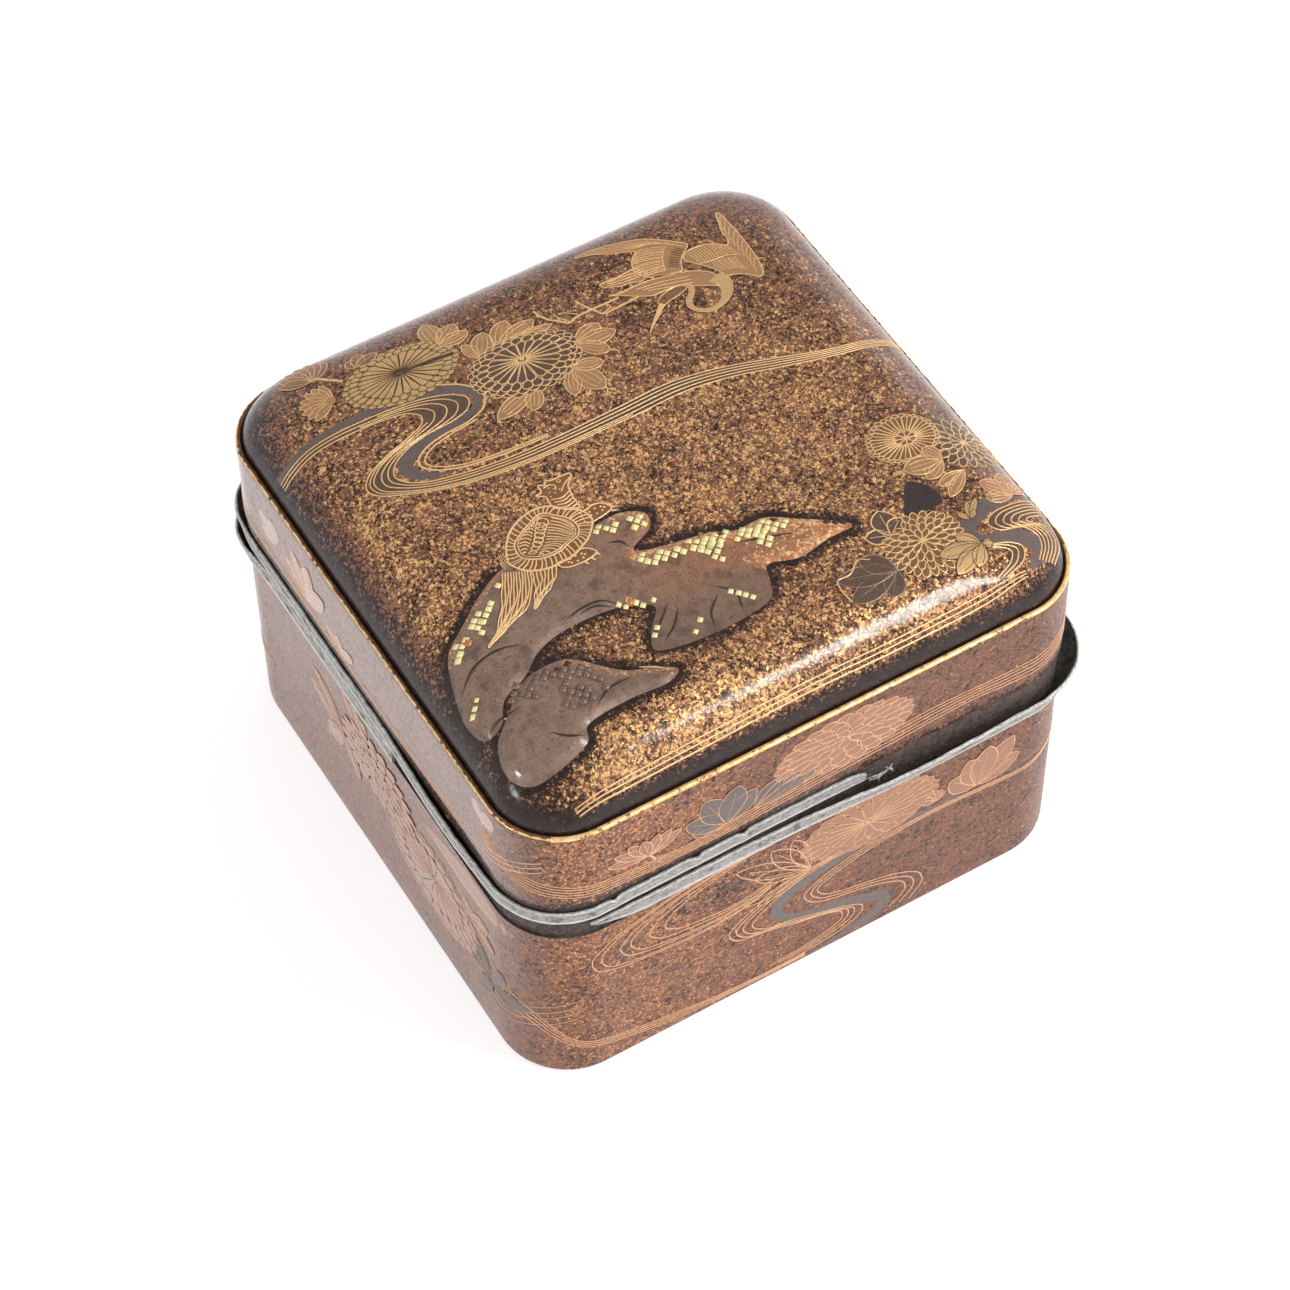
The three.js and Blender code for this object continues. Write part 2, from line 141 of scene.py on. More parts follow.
def shoulder_share(inset, start):
    """Height on the elliptical shoulder: 0 at its start, 1 from its end inward."""
    share = np.clip((inset - start) / (BOARD_INSET + SHOULDER_RUN - start), 0, 1)
    return np.sqrt(1 - (1 - share) ** 2)


def crown_share(inset):
    return 1 - (1 - (inset - BOARD_INSET) / (HALF - BOARD_INSET)) ** 2


def top_height(inset):
    inset = np.maximum(inset, BOARD_INSET)
    return (GUTTER + SHOULDER_RISE * shoulder_share(inset, BOARD_INSET)
            + CROWN_RISE * crown_share(inset))


def underside_height(inset):
    climb = GUTTER - BOARD_SEAT + SHOULDER_RISE - BOARD_THICKNESS
    crown = CROWN_RISE * (crown_share(inset) - crown_share(HOLLOW_INSET))
    return BOARD_SEAT + climb * shoulder_share(inset, HOLLOW_INSET) + crown


def level_radius(inset):
    return np.minimum(HALF - inset, CORNER_RADIUS - BOARD_INSET
                      + CORNER_SOFTENING * (inset - BOARD_INSET))


def inset_at(x, y):
    """Inset of the level curve of the crown that passes through a point."""
    low, high = np.zeros_like(x), np.full_like(x, HALF - 1e-6)
    for _ in range(26):
        middle = (low + high) / 2
        half, radius = HALF - middle, level_radius(middle)
        qx, qy = np.abs(x) - (half - radius), np.abs(y) - (half - radius)
        gap = (np.hypot(np.maximum(qx, 0), np.maximum(qy, 0))
               + np.minimum(np.maximum(qx, qy), 0) - radius)
        low, high = np.where(gap < 0, middle, low), np.where(gap < 0, high, middle)
    return low


def level_curve(inset, side_steps, corner_steps):
    half, radius = HALF - inset, float(level_radius(np.array(inset)))
    reach = half - radius
    points = []
    for turn in range(4):
        quarter = turn * math.pi / 2
        turning = np.array([[math.cos(quarter), -math.sin(quarter)],
                            [math.sin(quarter), math.cos(quarter)]])
        along = -reach + 2 * reach * np.arange(side_steps) / side_steps
        points.append(np.stack([along, np.full_like(along, -half)], 1) @ turning.T)
        angle = -math.pi / 2 + math.pi / 2 * np.arange(corner_steps) / corner_steps
        arc = np.stack([reach + radius * np.cos(angle), -reach + radius * np.sin(angle)], 1)
        points.append(arc @ turning.T)
    return np.concatenate(points)


def smooth_curve(points, closed=False, step=0.25):
    """Centripetal Catmull-Rom curve through the points, as a polyline with about that step."""
    p = np.asarray(points, float)
    if closed:
        p = np.vstack([p[-1], p, p[:2]])
    else:
        p = np.vstack([2 * p[0] - p[1], p, 2 * p[-1] - p[-2]])
    out = []
    for a, b, c, d in zip(p[:-3], p[1:-2], p[2:-1], p[3:]):
        t0 = 0.0
        t1 = t0 + max(np.linalg.norm(b - a), 1e-6) ** 0.5
        t2 = t1 + max(np.linalg.norm(c - b), 1e-6) ** 0.5
        t3 = t2 + max(np.linalg.norm(d - c), 1e-6) ** 0.5
        count = max(2, int(np.linalg.norm(c - b) / step) + 1)
        t = np.linspace(t1, t2, count, endpoint=False)[:, None]
        ab = (t1 - t) / (t1 - t0) * a + (t - t0) / (t1 - t0) * b
        bc = (t2 - t) / (t2 - t1) * b + (t - t1) / (t2 - t1) * c
        cd = (t3 - t) / (t3 - t2) * c + (t - t2) / (t3 - t2) * d
        abc = (t2 - t) / (t2 - t0) * ab + (t - t0) / (t2 - t0) * bc
        bcd = (t3 - t) / (t3 - t1) * bc + (t - t1) / (t3 - t1) * cd
        out.append((t2 - t) / (t2 - t1) * abc + (t - t1) / (t2 - t1) * bcd)
    if not closed:
        out.append(p[-2][None])
    return np.concatenate(out)


def sideways(path):
    """Unit vectors across a flat path, to its left."""
    tangent = np.gradient(path, axis=0)
    tangent /= np.maximum(np.linalg.norm(tangent, axis=1), 1e-9)[:, None]
    return np.stack([-tangent[:, 1], tangent[:, 0]], 1)


def distance_inside(points, polygon):
    """Distance to a closed polygon, positive inside it and negative outside."""
    a, b = polygon, np.roll(polygon, -1, 0)
    best = np.full(len(points), 1e9)
    inside = np.zeros(len(points), bool)
    for (ax, ay), (bx, by) in zip(a, b):
        dx, dy = bx - ax, by - ay
        t = np.clip(((points[:, 0] - ax) * dx + (points[:, 1] - ay) * dy)
                    / max(dx * dx + dy * dy, 1e-12), 0, 1)
        best = np.minimum(best, np.hypot(points[:, 0] - ax - t * dx, points[:, 1] - ay - t * dy))
        crosses = (ay > points[:, 1]) != (by > points[:, 1])
        at = ax + (points[:, 1] - ay) * dx / (dy if dy else 1e-12)
        inside ^= crosses & (points[:, 0] < at)
    return np.where(inside, best, -best)


def distance_to(points, path):
    """Distance of each point to a path through a few points."""
    return np.min([np.linalg.norm(points - at, axis=1) for at in smooth_curve(path, step=0.3)], 0)


def rise(value, low, high):
    """0 up to low, 1 from high on, straight between."""
    return np.clip((value - low) / (high - low), 0, 1)


def rock_profile(distance):
    """Height of the built-up lacquer over the crown at a distance inside a rock's outline."""
    share = np.clip(distance / ROCK_ROUNDING, 0, 1)
    return ROCK_RELIEF * np.sin(math.pi / 2 * share) ** 1.2


def low_lobe(x, y):
    """1 on the nearly flat lobe in front of the large rock, 0 elsewhere."""
    return rise(-y, 17.8, 21.5) * rise(y, -26.4, -25.6) * rise(x, -14.5, -13) * rise(-x, -3.4, -1.6)


# Height of the lid's surface, with its rocks, on a fine grid
PITCH = 0.125
grid_axis = np.arange(-HALF, HALF + PITCH / 2, PITCH)
grid_x, grid_y = np.meshgrid(grid_axis, grid_axis, indexing="ij")
crown_grid = top_height(inset_at(grid_x, grid_y))
ROCKS = [smooth_curve(rock, closed=True, step=0.6) for rock in (LARGE_ROCK, SMALL_ROCK)]
rock_distance = np.full(grid_x.shape, -9.0)
for rock in ROCKS:
    near = ((grid_x > rock[:, 0].min() - 4) & (grid_x < rock[:, 0].max() + 4)
            & (grid_y > rock[:, 1].min() - 4) & (grid_y < rock[:, 1].max() + 4))
    found = distance_inside(np.stack([grid_x[near], grid_y[near]], 1), rock)
    rock_distance[near] = np.maximum(rock_distance[near], found)
flattened = 1 - LOBE_FLATNESS * low_lobe(grid_x, grid_y)
height_grid = crown_grid + rock_profile(rock_distance) * flattened
slope_x, slope_y = np.gradient(height_grid, PITCH)


def sample(grid, xy):
    """Values of a grid at points between its own."""
    f = np.clip((xy + HALF) / PITCH, 0, grid.shape[0] - 1.001)
    i = f.astype(int)
    t = f - i
    i, j, s, t = i[:, 0], i[:, 1], t[:, 0], t[:, 1]
    return ((grid[i, j] * (1 - s) + grid[i + 1, j] * s) * (1 - t)
            + (grid[i, j + 1] * (1 - s) + grid[i + 1, j + 1] * s) * t)


class Crown:
    """The lid's upper surface, drawn on in plan."""

    def place(self, xy, lift):
        z = sample(height_grid, xy)
        normal = np.stack([-sample(slope_x, xy), -sample(slope_y, xy), np.ones(len(xy))], 1)
        normal /= np.linalg.norm(normal, axis=1)[:, None]
        return np.column_stack([xy, z]) + normal * np.reshape(lift, (-1, 1))


class Side:
    """The outer face of a band, drawn on in distance from a side's middle and height."""

    def __init__(self, middle):
        self.middle = middle

    def place(self, uz, lift):
        point, normal = outline(uz[:, 0] + self.middle)
        out = point + normal * np.reshape(lift, (-1, 1))
        return np.column_stack([out, np.maximum(uz[:, 1], FOOT_ROUNDING)])


def new_mesh(name, vertices, faces, materials, body, sharp=None, face_material=None,
             values=None):
    """A piece in the row frame from millimetres; values are named numbers on its vertices."""
    mesh = bpy.data.meshes.new(name)
    corners = [tuple(map(int, face)) for face in faces]
    mesh.from_pydata((np.asarray(vertices) * MM).tolist(), [], corners)
    for material in materials:
        mesh.materials.append(material)
    if face_material is not None:
        mesh.polygons.foreach_set("material_index", np.asarray(face_material, np.int32))
    mesh.polygons.foreach_set("use_smooth", np.ones(len(mesh.polygons), bool))
    for key, numbers in (values or {}).items():
        layer = mesh.attributes.new(key, "FLOAT", "POINT")
        layer.data.foreach_set("value", np.asarray(numbers, np.float32))
    mesh.update()
    if sharp:
        mesh.set_sharp_from_angle(angle=math.radians(sharp))
    made = bpy.data.objects.new(name, mesh)
    bpy.context.scene.collection.objects.link(made)
    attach(made, body)
    return made


def grid_faces(rows, columns, rows_close=False, columns_close=False):
    """Quads of a grid of points stored row by row."""
    i = np.arange(rows if rows_close else rows - 1)
    j = np.arange(columns if columns_close else columns - 1)
    i, j = [a.ravel() for a in np.meshgrid(i, j, indexing="ij")]
    up, on = (i + 1) % rows, (j + 1) % columns
    return np.stack([i * columns + j, up * columns + j, up * columns + on, i * columns + on], 1)


def turn_stations(step):
    """Distances once round the outline, with a station wherever straight and arc meet."""
    out = []
    for turn in range(4):
        start = turn * (STRAIGHT + ARC) - STRAIGHT / 2
        sides, arcs = int(STRAIGHT / step), int(ARC / step)
        out.append(start + STRAIGHT * np.arange(sides) / sides)
        out.append(start + STRAIGHT + ARC * np.arange(arcs) / arcs)
    return np.concatenate(out)


def sweep(distances, insets, heights):
    """Points of a band: one row per station, one column per point of its section."""
    point, normal = outline(distances)
    insets = np.broadcast_to(insets, (len(distances), np.shape(insets)[-1]))
    heights = np.broadcast_to(heights, insets.shape)
    xy = point[:, None] - normal[:, None] * insets[:, :, None]
    return np.concatenate([xy, heights[:, :, None]], 2).reshape(-1, 3)


def wave(distances, seed, lengths=(31.0, 12.0, 5.3, 2.1)):
    """Smooth random wave round the outline, between about -1 and 1."""
    own = np.random.default_rng(seed)
    total = np.zeros(len(distances))
    for length in lengths:
        cycles = max(1, round(PERIMETER / length))
        total += own.uniform(0.5, 1) * np.sin(2 * math.pi * cycles * distances / PERIMETER
                                              + own.uniform(0, 2 * math.pi))
    return total / len(lengths)


def empty_tree(owner):
    """The emptied node tree of a material or of the world."""
    owner.use_nodes = True
    owner.node_tree.nodes.clear()
    return owner.node_tree


def add_node(tree, kind, inputs=None, **settings):
    """A node with its settings; each input is a number, a colour or another node's output."""
    node = tree.nodes.new("ShaderNode" + kind)
    for key, value in settings.items():
        setattr(node, key, value)
    for key, value in (inputs or {}).items():
        if isinstance(value, bpy.types.NodeSocket):
            tree.links.new(value, node.inputs[key])
        else:
            node.inputs[key].default_value = value
    return node


class Net:
    """A node material, built one node at a time."""

    def __init__(self, name, **uniform):
        self.material = bpy.data.materials.new(name)
        self.tree = empty_tree(self.material)
        self.shader = self.add("BsdfPrincipled", {key.replace("_", " "): value
                                                  for key, value in uniform.items()})
        self.add("OutputMaterial", {"Surface": self.shader.outputs[0]})
        place = self.add("TexCoord").outputs["Object"]
        self.position = self.add("VectorMath", {0: place, 1: (1 / MM,) * 3},
                                 operation="MULTIPLY").outputs[0]

    def add(self, kind, inputs=None, **settings):
        return add_node(self.tree, kind, inputs, **settings)

    def math(self, operation, a, b=0.0, c=0.0):
        return self.add("Math", {0: a, 1: b, 2: c}, operation=operation).outputs[0]

    def noise(self, scale, detail=3.0, roughness=0.55, vector=None):
        return self.add("TexNoise", {"Vector": vector or self.position, "Scale": scale,
                                     "Detail": detail, "Roughness": roughness})

    def ramp(self, value, low, high, to_low=0.0, to_high=1.0):
        return self.add("MapRange", {"Value": value, "From Min": low, "From Max": high,
                                     "To Min": to_low, "To Max": to_high},
                        interpolation_type="SMOOTHSTEP").outputs[0]

    def below(self, value, limit, soft):
        """1 where the value is under the limit, 0 where it is over, soft between."""
        return self.ramp(self.math("SUBTRACT", limit, value), -soft, soft)

    def mix(self, share, a, b, blend="MIX"):
        a, b = [c if isinstance(c, bpy.types.NodeSocket) else (*c, 1.0) for c in (a, b)]
        return self.add("Mix", {0: share, 6: a, 7: b}, data_type="RGBA", blend_type=blend).outputs[2]

    def value(self, name):
        return self.add("Attribute", attribute_name=name).outputs["Fac"]

    def bump(self, height, strength, distance):
        return self.add("Bump", {"Height": height, "Strength": strength,
                                 "Distance": distance}).outputs[0]

    def set(self, **links):
        for key, value in links.items():
            self.tree.links.new(value, self.shader.inputs[key.replace("_", " ")])

    def cells(self, scale, warp=0.16, seed=0.0):
        """Random numbers per irregular flake: three of them, and the flake's random colour."""
        shift = self.add("VectorMath", {0: self.position, 1: (seed, seed * 1.7, seed * 0.6)},
                         operation="ADD").outputs[0]
        ripple = self.noise(scale * 1.6, 2.0, 0.6, shift).outputs["Color"]
        centred = self.add("VectorMath", {0: ripple, 1: (0.5,) * 3}, operation="SUBTRACT").outputs[0]
        bent = self.add("VectorMath", {0: centred, 1: (warp * 4,) * 3, 2: shift},
                        operation="MULTIPLY_ADD").outputs[0]
        cell = self.add("TexVoronoi", {"Vector": bent, "Scale": scale, "Randomness": 1.0})
        parts = self.add("SeparateColor", {0: cell.outputs["Color"]})
        return parts.outputs[0], parts.outputs[1], parts.outputs[2], cell.outputs["Color"]


def shade(colour, factor):
    return tuple(part * factor for part in colour)


GROUND = (0.020, 0.011, 0.009)


def metal_powder(name, colour, darker, roughness=0.42, metallic=0.4, grain=5.0, coat=0.35,
                 worn=0.3, speckle=0.0):
    """Sprinkled and polished metal powder, a little uneven and worn down to the dark ground."""
    net = Net(name, Metallic=metallic, Coat_Weight=coat, Coat_Roughness=0.18,
              Specular_IOR_Level=0.25)
    speck = net.noise(grain, 4.0, 0.7).outputs["Fac"]
    patch = net.noise(0.7, 4.0, 0.6).outputs["Fac"]
    tint = net.mix(net.ramp(speck, 0.36, 0.64), darker, colour)
    tint = net.mix(net.ramp(patch, 0.35, 0.8, 0.0, worn), tint, shade(darker, 0.5))
    if speckle:
        lost = net.below(net.cells(2.6, 0.25, seed=5.3)[0], speckle, 0.03)
        tint = net.mix(lost, tint, shade(darker, 0.2))
    net.set(Base_Color=tint, Normal=net.bump(speck, 0.35, 0.00002),
            Roughness=net.ramp(speck, 0.3, 0.7, roughness + 0.1, roughness - 0.06))
    return net.material


def dusted_lacquer(name, cold, warm, gold, coat, spread):
    """Polished lacquer over sprinkled powder in irregular flakes of about 0.4 and 0.2 mm.

    The mesh says how much of the dark ground is covered, how much of the powder is gold, how warm
    the copper is and how glossy the coat. spread is how far the tones of flakes lie apart.
    """
    net = Net(name, Coat_Weight=coat, Coat_Roughness=0.13, Coat_IOR=1.5, IOR=1.45,
              Specular_IOR_Level=0.12)
    flake, glint, tone, colour = net.cells(3.7, 0.2, seed=3.1)
    fine, fine_glint, fine_tone, _ = net.cells(6.8, 0.12, seed=11.7)
    cloud = net.ramp(net.noise(0.24, 3.0).outputs["Fac"], 0.34, 0.66, -0.18, 0.18)
    clump = net.ramp(net.noise(1.25, 3.0).outputs["Fac"], 0.36, 0.64, -0.26, 0.26)
    cover = net.value("cover")
    share = net.math("MULTIPLY_ADD", net.math("ADD", cloud, clump), cover, cover)
    bright = net.value("bright")
    gold_share = net.math("MULTIPLY_ADD", cloud, bright, bright)
    copper = net.mix(net.value("heat"), cold, warm)
    low, high = (1 - spread,) * 3, (1 + spread,) * 3

    def powder(tone, glint):
        toned = net.mix(1.0, copper, net.mix(tone, low, high), "MULTIPLY")
        shining = net.mix(fine_tone, shade(gold, 0.8), shade(gold, 1.12))
        return net.mix(net.below(glint, gold_share, 0.03), toned, shining)

    deep = net.mix(net.ramp(net.noise(0.9, 4.0).outputs["Fac"], 0.3, 0.7),
                   shade(GROUND, 0.8), shade(GROUND, 1.6))
    is_flake = net.below(flake, share, 0.025)
    is_fine = net.below(fine, net.math("MULTIPLY", share, 0.34), 0.03)
    base = net.mix(is_flake, deep, powder(tone, glint))
    base = net.mix(is_fine, base, powder(fine_tone, fine_glint))
    tilt = net.add("VectorMath", {0: colour, 1: (0.5,) * 3}, operation="SUBTRACT").outputs[0]
    normal = net.add("NewGeometry").outputs["Normal"]
    leaning = net.add("VectorMath", {0: tilt, 1: (0.4,) * 3, 2: normal},
                      operation="MULTIPLY_ADD").outputs[0]
    leaning = net.add("VectorMath", {0: leaning}, operation="NORMALIZE").outputs[0]
    metal = net.math("MULTIPLY", net.math("MAXIMUM", is_flake, is_fine), 0.28)
    net.set(Base_Color=base, Metallic=metal, Normal=leaning,
            Coat_Weight=net.math("MULTIPLY_ADD", net.value("gloss"), 0.8, coat),
            Roughness=net.ramp(net.noise(3.0).outputs["Fac"], 0.3, 0.7, 0.3, 0.44),
            Coat_Normal=net.bump(net.noise(0.5, 4.0).outputs["Fac"], 0.2, 0.0002))
    return net.material


def rock_lacquer():
    """Brown lacquer of the rocks, greyer, redder, golden or dimmer as the mesh says."""
    net = Net("rock_lacquer", Metallic=0.2, Coat_Roughness=0.1, Specular_IOR_Level=0.25)
    net.set(Coat_Weight=net.math("MULTIPLY_ADD", net.value("gloss"), 0.8, 0.2))
    blot = net.noise(0.7, 5.0, 0.62).outputs["Fac"]
    speck = net.noise(4.0, 4.0, 0.7).outputs["Fac"]
    fleck = net.cells(4.2, seed=2.4)[0]
    mottled = net.ramp(blot, 0.36, 0.64)
    grey = net.mix(mottled, (0.180, 0.114, 0.086), (0.250, 0.163, 0.124))
    red = net.mix(mottled, (0.245, 0.106, 0.060), (0.320, 0.146, 0.086))
    tint = net.mix(net.value("red"), grey, red)
    grain = net.ramp(speck, 0.46, 0.66, 0.0, 0.5)
    tint = net.mix(grain, tint, (0.40, 0.245, 0.150))
    stain = net.ramp(net.noise(0.45, 5.0, 0.65).outputs["Fac"], 0.52, 0.68, 0.0, 0.62)
    tint = net.mix(stain, tint, (0.085, 0.055, 0.045))
    hot = net.mix(net.ramp(speck, 0.38, 0.62), (0.32, 0.105, 0.040), (0.58, 0.24, 0.085))
    warm = net.value("warm")
    tint = net.mix(warm, tint, hot)
    tint = net.mix(net.below(fleck, 0.03, 0.03), tint, (0.10, 0.06, 0.045))
    glow = net.math("MULTIPLY_ADD", warm, 0.3, -0.02)
    tint = net.mix(net.below(net.math("SUBTRACT", 1.0, fleck), glow, 0.04), tint,
                   (0.80, 0.52, 0.26))
    tint = net.mix(net.value("dim"), tint, (0.060, 0.038, 0.030))
    net.set(Base_Color=tint, Normal=net.bump(speck, 0.35, 0.00003),
            Roughness=net.ramp(blot, 0.3, 0.7, 0.5, 0.36))
    return net.material


def pewter(name, light, dark, patina, metallic=0.7):
    """Old pewter: dull grey, scratched along its length, darker in patches."""
    net = Net(name, Metallic=metallic, IOR=1.5)
    stretched = net.add("VectorMath", {0: net.position, 1: (0.6, 0.6, 6.0)},
                        operation="MULTIPLY").outputs[0]
    scratch = net.noise(2.4, 6.0, 0.75, stretched).outputs["Fac"]
    blotch = net.noise(0.55, 5.0, 0.65).outputs["Fac"]
    pits = net.noise(3.6, 4.0, 0.75).outputs["Fac"]
    tint = net.mix(net.ramp(scratch, 0.35, 0.65), dark, light)
    tint = net.mix(net.ramp(blotch, 0.62 - patina * 0.4, 0.8 - patina * 0.3), tint,
                   shade(dark, 0.45))
    tint = net.mix(net.ramp(pits, 0.58, 0.68), tint, shade(dark, 0.6))
    dents = net.math("ADD", scratch, net.math("MULTIPLY", pits, 0.8))
    net.set(Base_Color=tint, Roughness=net.ramp(scratch, 0.3, 0.7, 0.58, 0.34),
            Normal=net.bump(dents, 0.8, 0.00016))
    return net.material


CROWN_LACQUER = dusted_lacquer("crown_lacquer", (0.265, 0.116, 0.066), (0.45, 0.160, 0.054),
                               (0.94, 0.54, 0.215), 0.45, 0.5)
WALL_LACQUER = dusted_lacquer("wall_lacquer", (0.225, 0.098, 0.058), (0.60, 0.208, 0.062),
                              (0.80, 0.37, 0.14), 0.10, 0.45)
ROCK_LACQUER = rock_lacquer()
GOLD_LINE = metal_powder("gold_line", (0.96, 0.62, 0.30), (0.72, 0.42, 0.19), worn=0.15)
GOLD_FILL = metal_powder("gold_fill", (0.70, 0.45, 0.21), (0.52, 0.31, 0.13), worn=0.2)
BEIGE_FILL = metal_powder("beige_fill", (0.50, 0.275, 0.13), (0.36, 0.19, 0.085), worn=0.2)
BROWN_FILL = metal_powder("brown_gold_fill", (0.30, 0.165, 0.075), (0.17, 0.088, 0.04))
COPPER_FILL = metal_powder("copper_fill", (0.43, 0.197, 0.102), (0.34, 0.150, 0.075), worn=0.2)
COPPER_LINE = metal_powder("copper_line", (0.88, 0.53, 0.32), (0.68, 0.37, 0.20), worn=0.15)
FADED_FILL = metal_powder("faded_fill", (0.33, 0.17, 0.095), (0.24, 0.115, 0.062))
GREY_FILL = metal_powder("grey_fill", (0.18, 0.134, 0.120), (0.125, 0.090, 0.080), 0.45, 0.25)
GREY_LINE = metal_powder("grey_line", (0.36, 0.25, 0.19), (0.24, 0.16, 0.12))
SOFT_DARK = metal_powder("soft_dark", (0.15, 0.088, 0.058), (0.085, 0.050, 0.034), 0.45, 0.15)
DARK_LINE = metal_powder("dark_line", (0.11, 0.064, 0.035), (0.06, 0.034, 0.02), 0.45, 0.15)
DARK_PATCH = metal_powder("dark_patch", (0.055, 0.040, 0.036), (0.025, 0.018, 0.017), 0.45, 0.1)
CUT_GOLD = metal_powder("cut_gold", (0.95, 0.86, 0.44), (0.88, 0.74, 0.32), 0.36, 0.25, coat=0.15,
                        worn=0.1)
CUT_ORANGE = metal_powder("cut_orange", (0.62, 0.27, 0.09), (0.45, 0.18, 0.06), coat=0.15)
CUT_RED = metal_powder("cut_red", (0.12, 0.036, 0.024), (0.075, 0.024, 0.018), coat=0.15)
EDGE_GOLD = metal_powder("edge_gold", (1.0, 0.78, 0.40), (0.86, 0.46, 0.15), 0.3, 0.35, grain=1.6,
                         coat=0.3, worn=0.1, speckle=0.06)
RUBBED_EDGE = metal_powder("rubbed_edge", (0.30, 0.135, 0.07), (0.11, 0.055, 0.036), 0.4, 0.3,
                           grain=1.6, coat=0.3)
RUBBED_CUT = metal_powder("rubbed_cut", (0.27, 0.170, 0.125), (0.17, 0.105, 0.078), coat=0.2)
TURTLE_FILL = metal_powder("turtle_fill", (0.33, 0.150, 0.066), (0.21, 0.090, 0.040))
BRIGHT_LINE = metal_powder("bright_gold_line", (1.0, 0.68, 0.35), (0.80, 0.48, 0.22), worn=0.15)
SOFT_FILL = metal_powder("soft_copper_fill", (0.42, 0.205, 0.125), (0.33, 0.150, 0.085), 0.3, 0.4,
                         coat=0.7, worn=0.2)
SOFT_LINE = metal_powder("soft_copper_line", (0.62, 0.37, 0.24), (0.46, 0.25, 0.155), 0.3, 0.4,
                         coat=0.6, worn=0.2)
PALE_FILL = metal_powder("pale_copper_fill", (0.52, 0.29, 0.20), (0.42, 0.22, 0.14), 0.3, 0.4,
                         coat=1.0, worn=0.1)
PALE_LINE = metal_powder("pale_copper_line", (0.78, 0.52, 0.36), (0.62, 0.38, 0.25), 0.3, 0.4,
                         coat=0.8, worn=0.1)
BARE_EDGE = metal_powder("bare_edge", (0.115, 0.082, 0.068), (0.042, 0.030, 0.026), 0.6, 0.0,
                         grain=2.0, coat=0.05)
RESIN = metal_powder("resin", (0.50, 0.14, 0.03), (0.26, 0.06, 0.015), 0.3, 0.0, grain=2.0)
PEWTER = pewter("pewter", (0.60, 0.585, 0.555), (0.16, 0.153, 0.143), 0.28, 0.8)
# Lighter pewter for the strips' edges: rubbed metal, and partly a painted highlight.
PEWTER_WORN_AND_LIT = pewter("pewter_worn_and_lit", (0.86, 0.84, 0.80), (0.42, 0.405, 0.385), 0.0, 0.8)
PEWTER_DARK = pewter("pewter_dark", (0.12, 0.115, 0.10), (0.045, 0.042, 0.036), 0.5)
INSIDE = metal_powder("inside_lacquer", (0.10, 0.055, 0.03), (0.03, 0.018, 0.012), 0.4, 0.3)

# Steps along each side and round each corner of the lid board
SIDE_STEPS, CORNER_STEPS = 120, 36


def crown_insets(start, shoulder_steps, crown_steps):
    """Insets of the board's loops, close together where the shoulder is steep."""
    run = BOARD_INSET + SHOULDER_RUN - start
    shoulder = start + run * (1 - np.cos(math.pi / 2 * np.arange(shoulder_steps + 1)
                                         / shoulder_steps))
    flat = HALF - BOARD_INSET - SHOULDER_RUN
    return np.concatenate([shoulder, BOARD_INSET + SHOULDER_RUN
                           + flat * np.arange(1, crown_steps) / crown_steps])


def crown_powder(xy, inset):
    """Shares of powder and of gold, warmth of the copper and gloss, on the lid's upper side. The thinner
    powder in the gutter is partly painted shade, and the extra gold at the left edge and along the front
    shoulder is partly a painted glint.
    """
    x, y = xy[:, 0], xy[:, 1]
    rock = sample(rock_distance, xy)
    halo = rise(-rock, 0.5 - 0.4 * low_lobe(x, y), 1.4 - 0.6 * low_lobe(x, y))
    front, back = rise(-y, 22, 30), rise(y, 24, 34)
    right, left = rise(x, 22, 34), rise(-x, 26, 33)
    # The powder thins into the gutter inside the gold edge, more so at the left: bare lacquer there, and
    # partly painted shade of the sunken groove.
    edge = rise(inset, 1.2, 2.3 + 1.6 * rise(-x, 28, 33))
    middle = np.exp(-(x / 16) ** 2 - ((y + 4) / 10) ** 2)
    cover = (0.60 - 0.07 * back - 0.05 * right + 0.01 * front - 0.04 * rise(y, 6, 20)
             + 0.09 * middle) * edge * (0.06 + 0.94 * halo)
    # Gold share, raised towards the left edge and along the front shoulder: gold dust there, and partly a
    # painted glint of the lamps on the flakes.
    bright = (0.25 - 0.12 * right - 0.16 * back + 0.16 * left - 0.10 * rise(y, 5, 20)
              + 0.05 * middle)
    bright = bright * rise(inset, 3.0, 5.5)
    bright = np.maximum(bright, (0.20 + 0.22 * front * rise(-x, -24, -2)) * front * edge)
    heat = 0.75 - 0.55 * back - 0.45 * right + 0.25 * left
    gloss = 0.5 * rise(y, 30, 35) + 0.3 * rise(x, 31, 36)
    return {"cover": cover, "bright": bright * (0.3 + 0.7 * halo), "heat": np.clip(heat, 0, 1),
            "gloss": gloss}


